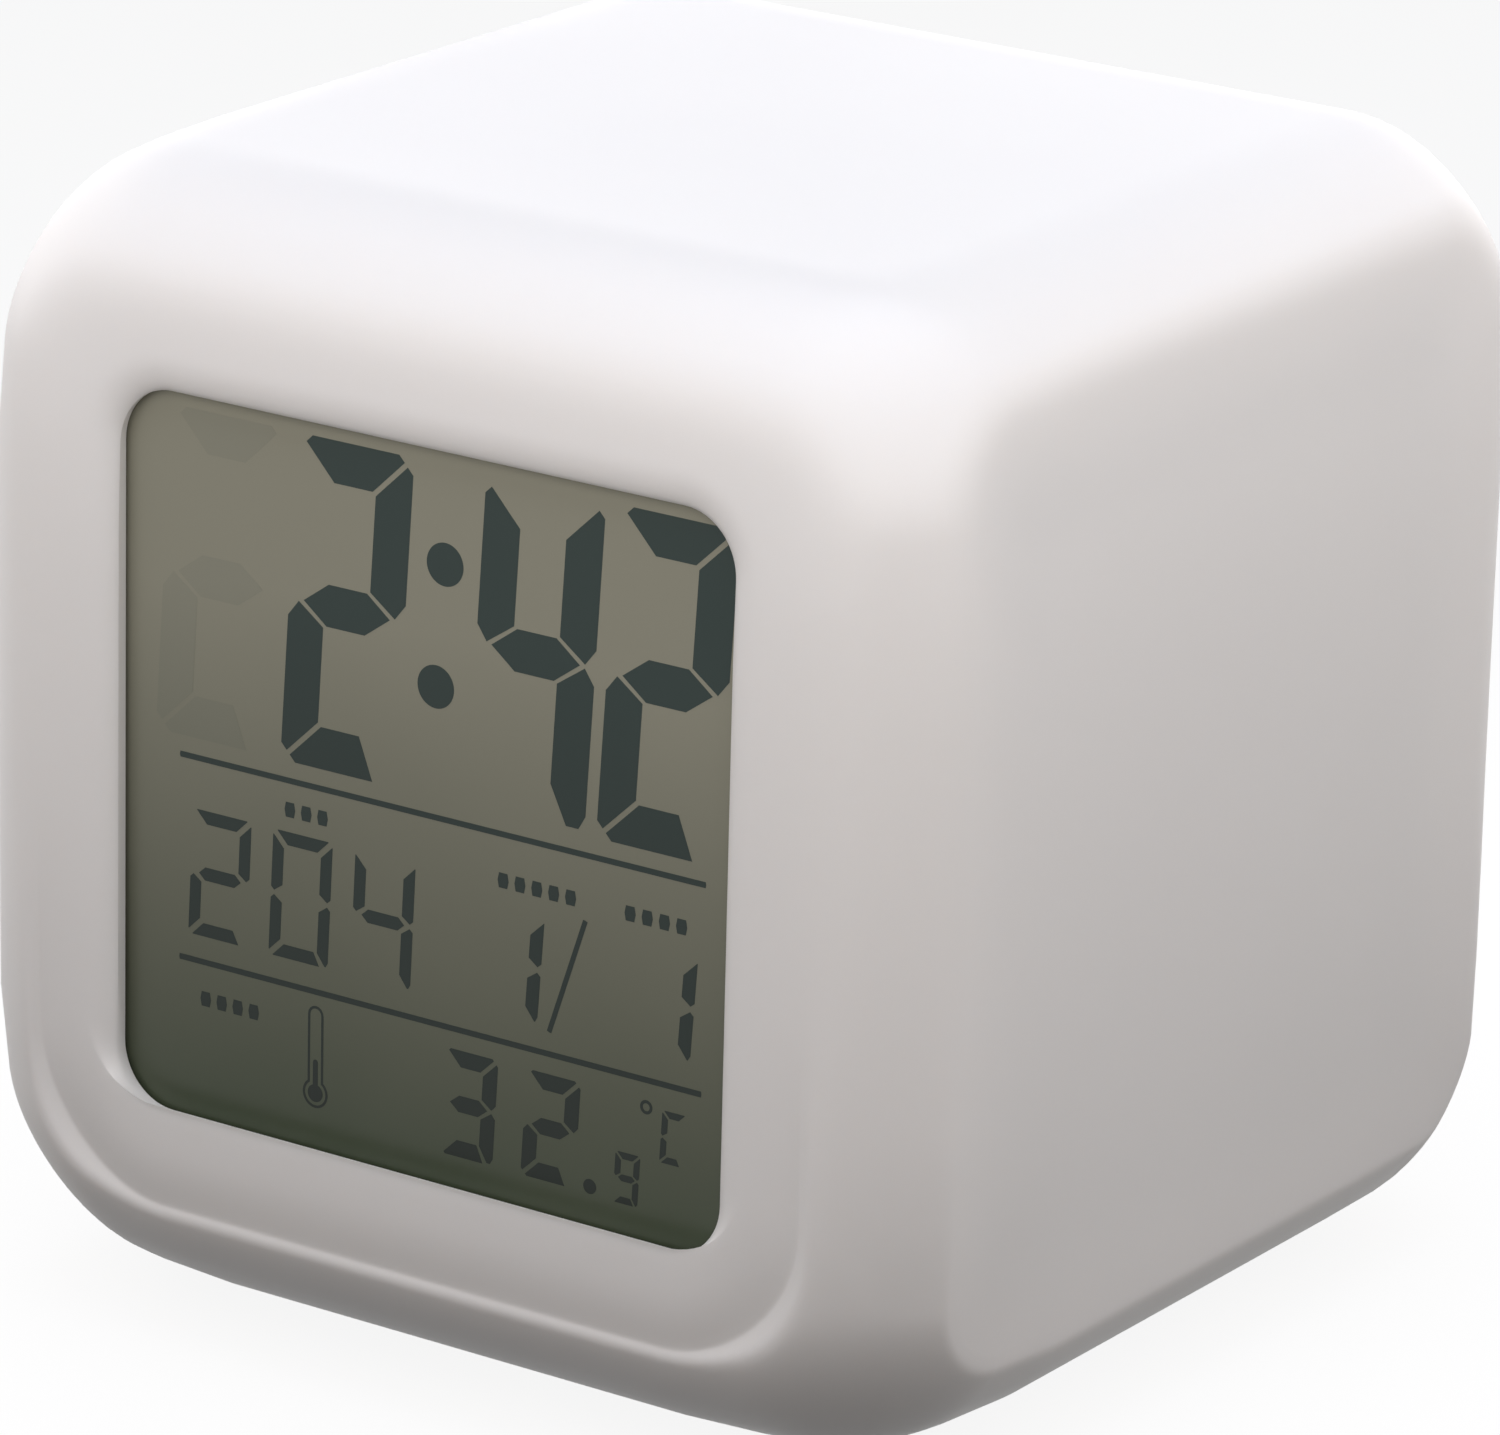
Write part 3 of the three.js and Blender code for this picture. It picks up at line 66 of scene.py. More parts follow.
# The front is pressed in a little. At its bottom a groove and a crest bound the pressed part, and at its
# top it leans in and runs out into the rounded edge
DISH_HALF = 29.9
DISH_CORNER = 10
DISH_DEPTH = 0.85
DISH_LEAN = 0.0027  # times the square of the height over LEAN_FROM
LEAN_FROM = 14
GROOVE_DEPTH = 0.5
GROOVE_RUN = 4.2
STEP_SLOPE = 0.45  # of the step from the groove up to the crest
STEP_SOFT = 0.2
CREST_SOFT = 0.4  # rounding of the crest at the bottom, where it stands up
CREST_FADED = 1.1  # and at the top, where it fades
CREST_FADES = (-20, -2)  # from here to here, above the middle
CREST_RINGS = (1.8, 1.3, 1, 0.8, 0.65, 0.52, 0.4, 0.28, 0.16, 0.06, -0.06, -0.25)  # out from DISH_HALF

# The right and left sides are plain flats, which lean in at the top as the front does
SIDE_DEPTH = 1.5
SIDE_SOFT = 0.25  # rounding where the flat meets the rounded edge
SIDE_REACH = math.sqrt(EDGE_RADIUS ** 2 - (EDGE_RADIUS - SIDE_DEPTH) ** 2)  # out from the edge's start
SIDE_RINGS = (2, 1.5, 1.1, 0.8, 0.55, 0.35, 0.2, 0.06, -0.06, -0.2, -0.35, -0.55, -0.8, -1.1, -1.5)
PANEL_RINGS = (22, 18, 14, 10, 6, 2)  # half sizes
PANEL_CORNER = 0.25  # corner radius of such a ring, as a share of its half size

# Flat part of the top and the bottom
FLAT_CORNER = 6
FLAT_RINGS = (0.4, -0.4)

# The corners are drawn in, so that they are rounder than the edges
CORNER_ZONE = 20  # from this far off
CORNER_DRAW = {  # by this much at the tip, by whether the corner is at the rear and at the top
    (False, False): 1.5,
    (False, True): 1.1,
    (True, False): 0.9,
    (True, True): 0.6,
}
CORNER_POWER = 1.5
CORNER_TIP = (1 - EDGE_RADIUS * (1 - 1 / math.sqrt(3)) / CORNER_ZONE) ** 3
REAR_START = 0.17  # the rear's corners are drawn in only beyond the seat of the cover

# Display window and the rolled lip round it, which is undercut along the window's lower edge
WINDOW_HALF = (23.8, 24.3)
WINDOW_CORNER = 4
WINDOW_RISE = 0.7  # above the middle of the case
WINDOW_MIDDLE = CASE_MIDDLE.z + WINDOW_RISE
LIP_RUN = 2.4
SILL_RUN = -0.7  # of the lip along the lower edge
LIP_ROUND = 2  # more corner radius at the lip's outer border
LIP_DROP = 0.8
LIP_TURN = math.radians(75)
LIP_STEPS = 10
FRONT_INNER = 36.6  # case middle to the inside of the front wall
FILM_FACE = -36.3  # y of the display's front film

# Rear panel
RIM_EASE = 0.12  # chamfer at the rim of the cover's seat, and of the base's pocket
SEAT_BORDER = 0.6
SEAT_HALF = 29.3
SEAT_CORNER = 8.3
SEAT_FLOOR = 36
OPENING_HALF = 26.8
OPENING_CORNER = 8

# Base
POCKET_HALF = 23.3
POCKET_CORNER = 8.3
POCKET_TOP = 3.9
FLOOR_TOP = 6.1
WELL_RADIUS = 7.5
HOOK_OFFSET = 18
HOOK_SLOT = (1, 2.8)  # half sizes, out from the middle and across
FOOT_RADIUS = 4.5
FOOT_HEIGHT = 1.2
FOOT_ROUND = 0.35
FOOT_OFFSET = 14.5
FOOT_STEPS = 5

# Spring between the base and the roof of its well
SPRING_RADIUS = 6
SPRING_WIRE = 0.45  # half the wire's thickness
SPRING_ENDS = (3.5, 8.9)  # z of the wire's middle
SPRING_TURNS = 3.5
SPRING_STEPS = 40  # in a turn
SPRING_SIDES = 12  # of the wire

# Rounded and turned pieces
ARC_STEPS = 6  # in a quarter round
SPIN_STEPS = 48  # in a full turn

# Solids that are taken over with their edges rounded off: body, slot and the width of the rounding
EASED = {
    "rear_cover": ("case", "milky_plastic", 0.15),
    "battery_door": ("door", "milky_plastic", 0.2),
    "slide_knob": ("light_slider", "black_plastic", 0.08),
    "base_plate": ("base", "white_plastic", 0.2),
}
FLAT_BEND = math.radians(1)  # faces that bend less than this are one flat face
EASE_STEPS = 2
EVEN_WEIGHT = 100  # shading follows the large faces

# Keys, from the end of the stem to the rounded top
KEY_PLACES = {"mode": (-22.7, 11), "set": (-22.7, 1), "up": (22.7, 11), "down": (22.7, 1)}
KEY_HALF = (3.2, 2.5)
KEY_CORNER = 2.3
KEY_ROUND = 0.7
KEY_TOP = 38.9
FLANGE_RIM = 0.6
FLANGE_Y = (34.5, 35.7)
STEM_RADIUS = 1.5
STEM_END = 28.2

# Screws of the rear cover
SCREW_HEAD = 1.9
SCREW_CROWN = 1.4
SCREW_RADIUS = 1.1
SCREW_FACE = 37.8  # y of the top of the head, then of the start of its crown, its seat, the taper and the tip
SCREW_LEVELS = (37.3, 36.8, 31.9, 30.8)
SCREW_OFFSET = 24.2
CROSS_REACH = 1.2
CROSS_HALF = 0.3
CROSS_DEPTH = 0.6

# Cells
CELL_Y = 30.95
CELL_PITCH = 10.9
CELL_ENDS = (19.4, 60.2)  # z of the flat end of an outer cell, and of the middle one, which is turned over
CELL_PROFILE = ((0, 0.2), (4.2, 0.2), (4.3, 0), (4.9, 0), (5.25, 0.35), (5.25, 30), (5.25, 35), (5.25, 43.35),
                (4.9, 43.7), (3.2, 43.7), (3.1, 43.5), (1.9, 43.5), (1.9, 44.3), (1.7, 44.5), (0, 44.5))
CELL_BAND = (30, 35)
SLEEVE_FOLD = 4.25  # the sleeve is folded in this far over both ends

# Display print: places are from the middle of the window, across and up
INK = 0.01  # how far the drawn shapes stand out of the film
PAINTED_SHADE_TOP = 12  # painted shade: the display darkens below this height over its middle and is evenly pale above it
CLOUD_SIZE = 18  # of a soft random drift in where the painted shade lies, and how far that moves it up and down
CLOUD_RISE = 2.5

# Strokes that each figure has, from the top round by the right to the upper left, and the middle bar
STROKES = {
    "0": "abcdef", "1": "bc", "2": "abged", "3": "abgcd", "4": "fgbc", "9": "abcdfg", "C": "afed",
    "resting": "aged",
}
STROKE_GAP = 0.36  # share of the gap by which each end of a stroke stays back
CORNER_CUT = 0.42  # of an outer corner; this and the next three are shares of a stroke's thickness
BAR_TIP = 0.28  # how far the points of the middle bar stay back from the sides
BOTTOM_END = 0.6  # how far the bottom stroke stays back from the right side
HEEL_RISE = 0.1  # of the heel of the stroke that stands there
HEEL_CUT = 0.4  # of that heel, as a share of the cut-off corner

# Width, height, thickness, gap and lean of the figures
TIME_SIZE = (9.1, 21.85, 2.8, 0.35, 0.055)
DAY_SIZE = (4.75, 8.55, 0.9, 0.4, 0.04)
MONTH_SIZE = (4.35, 7.15, 1, 0.5, 0.065)
DATE_SIZE = (4.35, 7, 1, 0.5, 0.065)
HEAT_SIZE = (4.2, 7.2, 1.12, 0.3, 0.05)
TENTH_SIZE = (1.9, 3.45, 0.46, 0.16, 0.05)
UNIT_SIZE = (1.85, 3.5, 0.46, 0.16, 0.05)

# Figures with their lower left corners
FIGURES = {
    "time": (
        ("2", (-10.92, 1.35), TIME_SIZE), ("4", (3.73, 1.35), TIME_SIZE),
        ("2", (13.72, 1.35), TIME_SIZE)),
    "day": (
        ("2", (-18.7, -11.95), DAY_SIZE), ("0", (-12.2, -11.95), DAY_SIZE),
        ("4", (-5.65, -11.95), DAY_SIZE)),
    "date": (("1", (4.75, -11.9), MONTH_SIZE), ("1", (16.45, -11.8), DATE_SIZE)),
    "temperature": (
        ("3", (1.55, -22.25), HEAT_SIZE), ("2", (7.95, -22.25), HEAT_SIZE),
        ("9", (15, -22.35), TENTH_SIZE), ("C", (18.5, -18.9), UNIT_SIZE)),
    "labels": (),  # only lines and blocks
    "ghosts": (("resting", (-20.95, 1.35), TIME_SIZE),),
}
COLON_DOTS = ((1.25, 16.75), (0.65, 8.65))
COLON_RADIUS = 1.42
SLASH_ENDS = ((12.45, -4.25), (9.8, -12.25))
SLASH_WIDTH = 0.36
POINT_PLACE = (13.15, -21.8)
POINT_RADIUS = 0.5
DEGREE_PLACE = (17.35, -15.5)
DEGREE_RADII = (0.47, 0.26)

# Thermometer: half width of the tube, its top and the radius of the bulb
BULB_MIDDLE = Vector((-8.52, -20.6))
BULB_STEPS = 24
TUBE_STEPS = 8
GLASS_OUTSIDE = (0.62, -14.65, 1)
GLASS_INSIDE = (0.44, -14.83, 0.82)
GLASS_FILLING = (0.2, -18.3, 0.6)

# Rules between the rows, and rows of plain blocks over the numbers: left end, height and count
RULE_ENDS = (-19.6, 21.5)
RULE_HEIGHTS = (0.05, -13.7)
RULE_WIDTH = 0.4
HEADINGS = ((-11.15, -1.9, 3), (5.65, -3, 5), (15.4, -3.05, 4), (-17.85, -16.2, 4))
BLOCK = (0.85, 1)  # width and height
BLOCK_PITCH = 1.3
LINE_TIP = 0.1  # length of a line's pointed ends, as a share of its thickness


def tint(shade):
    """Turn an sRGB hex value into the linear colour that a shader takes."""
    parts = [int(shade[i:i + 2], 16) / 255 for i in (1, 3, 5)]
    return (*[p / 12.92 if p <= 0.04045 else ((p + 0.055) / 1.055) ** 2.4 for p in parts], 1)


def add(tree, kind, inputs=None, **settings):
    """Add a node, give it its settings, and fill or link its inputs."""
    made = tree.nodes.new("ShaderNode" + kind)
    for name, value in settings.items():
        setattr(made, name, value)
    for name, value in (inputs or {}).items():
        if isinstance(value, bpy.types.NodeSocket):
            tree.links.new(value, made.inputs[name])
        else:
            made.inputs[name].default_value = value
    return made


def start_finish(name, **sockets):
    """Start a finish: a surface with these values, and its places in millimetres."""
    made = bpy.data.materials.new(name)
    made.use_nodes = True
    tree = made.node_tree
    tree.nodes.clear()
    values = {}
    for socket, value in sockets.items():
        values[socket.replace("_", " ").title().replace("Ior", "IOR")] = value
    surface = add(tree, "BsdfPrincipled", values)
    add(tree, "OutputMaterial", {"Surface": surface.outputs[0]})
    spot = add(tree, "TexCoord")
    spot = add(tree, "Mapping", {"Vector": spot.outputs["Object"], "Scale": (1 / MM, 1 / MM, 1 / MM)})
    return made, tree, surface, spot.outputs[0]


def mottle(tree, surface, spot, pale, dark, patch, grain, depth, rough):
    """Give a surface a soft colour drift and an uneven gloss, and a grain in relief, sized in millimetres."""
    drift = add(tree, "TexNoise", {"Vector": spot, "Scale": 1 / patch, "Detail": 2.0})
    colour = add(tree, "Mix", {0: drift.outputs[0], 6: tint(pale), 7: tint(dark)}, data_type="RGBA")
    tree.links.new(colour.outputs[2], surface.inputs["Base Color"])
    texture = add(tree, "TexNoise", {"Vector": spot, "Scale": 1 / grain, "Detail": 3.0})
    gloss = add(tree, "MapRange", {"Value": drift.outputs[0], "To Min": rough[0], "To Max": rough[1]})
    tree.links.new(gloss.outputs[0], surface.inputs["Roughness"])
    relief = add(tree, "Bump", {"Height": texture.outputs[0], "Strength": 0.5, "Distance": depth * MM})
    tree.links.new(relief.outputs[0], surface.inputs["Normal"])
    return colour


# The real grain of these moulded, plated and rubbed surfaces is under a tenth of a millimetre, too fine to
# show, so each grain is drawn some tenths of a millimetre wide or more

# Milky polypropylene from a fine spark-eroded mould: a soft satin that lets a little light into it
milky, tree, surface, spot = start_finish(
    "milky_polypropylene", ior=1.49, subsurface_weight=0.25, subsurface_scale=0.003,
    subsurface_radius=(1, 0.92, 0.86))
mottle(tree, surface, spot, "#EDEBE9", "#E9E7E6",
       patch=38, grain=0.6, depth=0.006, rough=(0.4, 0.46))

# White ABS keys and base: a touch warmer and harder than the case
white, tree, surface, spot = start_finish(
    "white_abs", ior=1.54, subsurface_weight=0.1, subsurface_scale=0.001)
mottle(tree, surface, spot, "#E6E4E0", "#E0DED9",
       patch=22, grain=0.4, depth=0.008, rough=(0.36, 0.44))

# Black ABS slide knob and plungers: matt, with a fine moulded grain
black, tree, surface, spot = start_finish("black_abs", ior=1.54)
mottle(tree, surface, spot, "#1E1F21", "#18191B",
       patch=8, grain=0.25, depth=0.01, rough=(0.42, 0.55))

# Soft thermoplastic rubber feet: dull, slightly dusty
rubber, tree, surface, spot = start_finish("foot_rubber", ior=1.5)
mottle(tree, surface, spot, "#4A4A4B", "#3A3B3D",
       patch=5, grain=0.35, depth=0.02, rough=(0.72, 0.86))

# Nickel-plated steel: bright, with a slightly uneven polish
steel, tree, surface, spot = start_finish("nickel_plated_steel", metallic=1.0)
mottle(tree, surface, spot, "#C9CACC", "#B4B6B9",
       patch=6, grain=0.3, depth=0.004, rough=(0.2, 0.34))

# Silicone of the contact strips: dull pink, a little blotchy
silicone, tree, surface, spot = start_finish("strip_silicone", ior=1.41)
mottle(tree, surface, spot, "#D09A90", "#BD8278",
       patch=1.5, grain=0.2, depth=0.01, rough=(0.6, 0.75))

# Black epoxy over the bonded chip: a glossy poured drop
epoxy, tree, surface, spot = start_finish("poured_epoxy", ior=1.55)
mottle(tree, surface, spot, "#15161A", "#1D1E22",
       patch=4, grain=1.2, depth=0.02, rough=(0.14, 0.26))

# Vinyl round the flat leads: grey and dull, not quite even
vinyl, tree, surface, spot = start_finish("lead_vinyl", ior=1.52)
mottle(tree, surface, spot, "#A6A8AC", "#94969A",
       patch=3, grain=0.5, depth=0.02, rough=(0.45, 0.6))

# Acrylic light guide: nearly clear and glossy
acrylic, tree, surface, spot = start_finish("clear_acrylic", ior=1.49, transmission_weight=0.85)
mottle(tree, surface, spot, "#E9EEEE", "#DDE4E2",
       patch=12, grain=0.5, depth=0.01, rough=(0.06, 0.14))

# Soda-lime glass of the display: faintly green, polished
glass, tree, surface, spot = start_finish("display_glass", ior=1.52, transmission_weight=0.9)
mottle(tree, surface, spot, "#DDEAE3", "#D3E2DA",
       patch=30, grain=4.0, depth=0.001, rough=(0.02, 0.05))

# Solder mask on fibreglass: green, with copper runs that show paler through it
board, tree, surface, spot = start_finish("green_solder_mask", ior=1.55)
ground = mottle(tree, surface, spot, "#1F5A30", "#2B6B3B",
                patch=9, grain=0.3, depth=0.01, rough=(0.3, 0.42))
runs = add(tree, "TexBrick", {
    "Vector": spot, "Scale": 1.0, "Mortar Size": 0.45, "Brick Width": 3.4, "Row Height": 1.3})
copper = add(
    tree, "Mix", {0: runs.outputs["Fac"], 6: tint("#3B8549"), 7: ground.outputs[2]}, data_type="RGBA")
tree.links.new(copper.outputs[2], surface.inputs["Base Color"])


def painted_shade_display_layer(name, high, low, gloss):
    """A layer of the display with painted shade: paler at its top and darker towards its bottom, standing in
    for the light its face reflects.
    """
    made, tree, surface, spot = start_finish(name, ior=1.5, roughness=gloss, specular_ior_level=0.3)
    parts = add(tree, "SeparateXYZ", {"Vector": spot})
    cloud = add(tree, "TexNoise", {"Vector": spot, "Scale": 1 / CLOUD_SIZE, "Detail": 1.0})
    swell = add(tree, "MapRange", {"Value": cloud.outputs[0], "To Min": -CLOUD_RISE, "To Max": CLOUD_RISE})
    level = add(tree, "Math", {0: parts.outputs["Z"], 1: swell.outputs[0]}, operation="ADD")
    # Painted shade: the colour runs from the darker bottom one to the paler top one with height
    share = add(tree, "MapRange", {
        "Value": level.outputs[0],
        "From Min": WINDOW_MIDDLE - WINDOW_HALF[1], "From Max": WINDOW_MIDDLE + PAINTED_SHADE_TOP})
    colour = add(tree, "Mix", {0: share.outputs[0], 6: tint(low), 7: tint(high)}, data_type="RGBA")
    tree.links.new(colour.outputs[2], surface.inputs["Base Color"])
    return made


# Polariser film: grey-green acetate with a satin face, with painted shade that darkens it towards the bottom
film = painted_shade_display_layer("polariser_film", "#8C8B7C", "#3D4635", 0.35)

# Switched-on crystal: nearly black, a little blue-green, with the same painted shade towards the bottom
ink = painted_shade_display_layer("dark_crystal", "#263431", "#0C150D", 0.4)

# Crystal that is off but shows a little against the ground, with the same painted shade towards the bottom
faint = painted_shade_display_layer("resting_crystal", "#868678", "#3B4434", 0.35)

# Shrink sleeve on the cells: glossy printed film, plain blue-grey with a pale band
sleeve, tree, surface, spot = start_finish("cell_sleeve", ior=1.5, coat_weight=0.4, coat_roughness=0.1)
mottle(tree, surface, spot, "#4F7D8F", "#476F80",
       patch=9, grain=0.8, depth=0.01, rough=(0.22, 0.3))
band, tree, surface, spot = start_finish("cell_band", ior=1.5, coat_weight=0.4, coat_roughness=0.1)
mottle(tree, surface, spot, "#C7CDD0", "#BCC3C7",
       patch=9, grain=0.8, depth=0.01, rough=(0.22, 0.3))

# Diffused lamp bodies: milky epoxy with a soft gloss
lamp, tree, surface, spot = start_finish(
    "lamp_epoxy", ior=1.54, subsurface_weight=0.4, subsurface_scale=0.002)
mottle(tree, surface, spot, "#ECECF2", "#E2E3EA",
       patch=3, grain=0.6, depth=0.004, rough=(0.12, 0.2))


def make_piece(name, bm, body, materials, stands_for=()):
    """Close a mesh made in millimetres, set it in the frame and hang it on its body."""
    bmesh.ops.remove_doubles(bm, verts=bm.verts, dist=MERGE)
    bmesh.ops.recalc_face_normals(bm, faces=bm.faces)
    bmesh.ops.scale(bm, vec=(MM, MM, MM), verts=bm.verts)
    mesh = bpy.data.meshes.new(name)
    bm.to_mesh(mesh)
    bm.free()
    mesh.shade_smooth()
    mesh.set_sharp_from_angle(angle=SHARP)
    for material in materials:
        mesh.materials.append(material)
    piece = bpy.data.objects.new(name, mesh)
    bpy.context.scene.collection.objects.link(piece)
    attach(piece, body)
    if stands_for:
        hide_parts(*stands_for)
    return piece


def round_trip(corners):
    """Join four corners' points into one ring, with even steps along the edges between them."""
    ring = []
    for turn, corner in enumerate(corners):
        after = corners[(turn + 1) % 4][0]
        ring += corner
        ring += [corner[-1].lerp(after, step / EDGE_STEPS) for step in range(1, EDGE_STEPS)]
    return ring


def outline(half_across, half_up, radius, rise=0.0):
    """Points round a rounded rectangle, from the end of its right edge."""
    corners = []
    for turn, (across, up) in enumerate(((1, 1), (-1, 1), (-1, -1), (1, -1))):
        middle = Vector((across * (half_across - radius), rise + up * (half_up - radius)))
        angles = [(turn + step / CORNER_STEPS) * math.pi / 2 for step in range(CORNER_STEPS + 1)]
        corners.append([middle + radius * Vector((math.cos(a), math.sin(a))) for a in angles])
    return round_trip(corners)


def ridge(size, radius):
    """Points along the border that a side of a rounded box shares with its four neighbours."""
    tip = math.asin(1 / math.sqrt(3))  # a corner's three borders meet here
    corners = []
    for turn, (across, up) in enumerate(((1, 1), (-1, 1), (-1, -1), (1, -1))):
        corner = []
        for step in range(CORNER_STEPS + 1):
            share = 2 * step / CORNER_STEPS
            small = math.sin(tip * min(share, 2 - share))
            large = math.sqrt((1 - small ** 2) / 2)
            lean = [large, small] if share <= 1 else [small, large]
            if turn % 2:
                lean.reverse()
            corner.append(Vector((
                across * (size.x - radius + radius * lean[0]), up * (size.y - radius + radius * lean[1]))))
        corners.append(corner)
    return round_trip(corners)


def between(first, last, steps):
    """Rings that change evenly from one ring to another, without the last one."""
    return [[a.lerp(b, step / steps) for a, b in zip(first, last)] for step in range(steps)]


def loft(bm, rings):
    """Skin a row of closed rings."""
    count, rows = len(rings[0]), len(rings) - 1
    strip = bmesh.ops.create_grid(bm, x_segments=count, y_segments=rows, size=0.5)
    for vert in strip["verts"]:
        column = round((vert.co.x + 0.5) * count) % count
        vert.co = rings[round((vert.co.y + 0.5) * rows)][column]


def cover(bm, rim, holes=()):
    """Fill a flat rim, leaving out its holes."""
    edges = []
    for ring in (rim, *holes):
        points = [point for i, point in enumerate(ring) if (point - ring[i - 1]).length > MERGE]
        verts = [bm.verts.new(point) for point in points]
        edges += [bm.edges.new((verts[i - 1], verts[i])) for i in range(len(verts))]
    bmesh.ops.triangle_fill(bm, edges=edges, use_beauty=True)


def bulge(across, up, size, radius):
    """Height of a rounded box's skin over its middle, at one place of a side."""
    over_across = max(abs(across) - size.x + radius, 0)
    over_up = max(abs(up) - size.y + radius, 0)
    return size.z - radius + math.sqrt(max(radius ** 2 - over_across ** 2 - over_up ** 2, 0))


def crest_fade(up):
    """How far the crest has gone at one height: not at all at the bottom, quite at the top."""
    low, high = CREST_FADES
    share = min(max((up - low) / (high - low), 0), 1)
    return share * share * (3 - 2 * share)


def lean_in(up):
    """How far a pressed side leans in at one height."""
    return DISH_LEAN * max(up - LEAN_FROM, 0) ** 2


def front_flat(across, up, size):
    """Height of the pressed-in part of the front, with its groove and the step up to its crest."""
    reach = (abs(across) - DISH_HALF + DISH_CORNER, abs(up) - DISH_HALF + DISH_CORNER)
    beyond = math.hypot(max(reach[0], 0), max(reach[1], 0)) + min(max(reach), 0) - DISH_CORNER
    groove = GROOVE_DEPTH * min(max(1 + beyond / GROOVE_RUN, 0), 1) ** 2
    step = STEP_SLOPE * (beyond + math.hypot(beyond, STEP_SOFT)) / 2
    return size.z - DISH_DEPTH - lean_in(up) + (1 - crest_fade(up)) * (step - groove)


def skin_height(side, size, across, up):
    """Height of the outside of the case over its middle, at one place of a side."""
    whole = bulge(across, up, size, EDGE_RADIUS)
    if side == "front":
        flat, crest = front_flat(across, up, size), CREST_SOFT
    elif side in ("right", "left"):
        flat, crest = size.z - SIDE_DEPTH - lean_in(up), SIDE_SOFT
    else:
        return whole
    soft = crest + crest_fade(up) * (CREST_FADED - crest)
    near = max(1 - abs(whole - flat) / soft, 0)
    return min(whole, flat) - near * near * soft / 4


def lip_ring(share):
    """Outline of the lip, from the edge of the window (0) to the lip's outer border (1)."""
    return outline(
        WINDOW_HALF[0] + share * LIP_RUN, WINDOW_HALF[1] + share * (LIP_RUN + SILL_RUN) / 2,
        WINDOW_CORNER + share * LIP_ROUND, WINDOW_RISE + share * (LIP_RUN - SILL_RUN) / 2)


# Each side's directions across, up and outwards, seen from outside
SIDES = {
    "front": ((1, 0, 0), (0, 0, 1), (0, -1, 0)),
    "right": ((0, 1, 0), (0, 0, 1), (1, 0, 0)),
    "rear": ((-1, 0, 0), (0, 0, 1), (0, 1, 0)),
    "left": ((0, -1, 0), (0, 0, 1), (-1, 0, 0)),
    "top": ((1, 0, 0), (0, 1, 0), (0, 0, 1)),
    "bottom": ((1, 0, 0), (0, -1, 0), (0, 0, -1)),
}


def on_side(side, middle, points, height):
    """Put flat points on a side of the case, at one height or at a height for each place."""
    across, up, out = (Vector(way) for way in SIDES[side])
    heights = [height(*p) if callable(height) else height for p in points]
    return [middle + across * p.x + up * p.y + out * h for p, h in zip(points, heights)]


def side_size(side, half):
    """Half sizes of a box as one of its sides sees it: across, up and out."""
    return Vector([abs(Vector(way).dot(half)) for way in SIDES[side]])


def soften(point):
    """Draw a place near a corner of the case in towards the middle."""
    out = point - CASE_MIDDLE
    share = 1.0
    for place, half in zip(out, CASE_HALF):
        share *= max(abs(place) - half + CORNER_ZONE, 0) / CORNER_ZONE
    start = REAR_START if out.y > 0 else 0
    share = max(share - start, 0) / (CORNER_TIP - start)
    pull = CORNER_DRAW[out.y > 0, out.z > 0] * share ** CORNER_POWER / math.sqrt(3)
    return point - Vector([math.copysign(pull, place) for place in out])


def hook_slots():
    """Outlines of the four slots that the base's hooks pass through."""
    out, wide = HOOK_SLOT
    slots = []
    for turn in range(4):
        around = Matrix.Rotation(turn * math.pi / 2, 2)
        corners = ((HOOK_OFFSET - out, -wide), (HOOK_OFFSET + out, -wide),
                   (HOOK_OFFSET + out, wide), (HOOK_OFFSET - out, wide))
        slots.append([around @ Vector(corner) for corner in corners])
    return slots


SEAT = outline(SEAT_HALF, SEAT_HALF, SEAT_CORNER)
POCKET = outline(POCKET_HALF, POCKET_HALF, POCKET_CORNER)
OPENINGS = {  # what each side's wall leaves open on the inside
    "front": outline(*WINDOW_HALF, WINDOW_CORNER, WINDOW_RISE),
    "rear": outline(OPENING_HALF, OPENING_HALF, OPENING_CORNER),
    "bottom": POCKET,
}


def side_rings(side, size):
    """Rings from the border of a side of the case in to its lip, its seat or its flat part."""
    core_across, core_up = size.x - EDGE_RADIUS, size.y - EDGE_RADIUS
    if side == "front":
        flats = [outline(DISH_HALF + out, DISH_HALF + out, DISH_CORNER + out) for out in CREST_RINGS]
        flats += between(flats[-1], lip_ring(1), LIP_STEPS)[1:]
    elif side in ("right", "left"):
        reaches = [SIDE_REACH + out for out in SIDE_RINGS]
        flats = [outline(core_across + reach, core_up + reach, reach) for reach in reaches]
        flats += [outline(half, half, half * PANEL_CORNER) for half in PANEL_RINGS]
    elif side == "rear":
        borders = (SEAT_BORDER, RIM_EASE)
        flats = [outline(SEAT_HALF + out, SEAT_HALF + out, SEAT_CORNER + out) for out in borders]
    else:
        flats = [outline(core_across + out, core_up + out, FLAT_CORNER + out) for out in FLAT_RINGS]
        if side == "bottom":
            rim = POCKET_HALF + RIM_EASE
            flats.append(outline(rim, rim, POCKET_CORNER + RIM_EASE))
    return between(ridge(size, EDGE_RADIUS), flats[0], SKIN_STEPS) + flats


def lip_rows(size):
    """The rolled lip, from its outer border to the edge of the window and through the wall."""
    rows = []
    for step in range(LIP_STEPS + 1):
        turn = LIP_TURN * step / LIP_STEPS
        ring = lip_ring(1 - math.sin(turn) / math.sin(LIP_TURN))
        drop = LIP_DROP * (1 - math.cos(turn)) / (1 - math.cos(LIP_TURN))
        row = on_side("front", CASE_MIDDLE, ring, lambda across, up: front_flat(across, up, size) - drop)
        rows.append([soften(point) for point in row])
    rows.append(on_side("front", CASE_MIDDLE, ring, FRONT_INNER))
    return rows


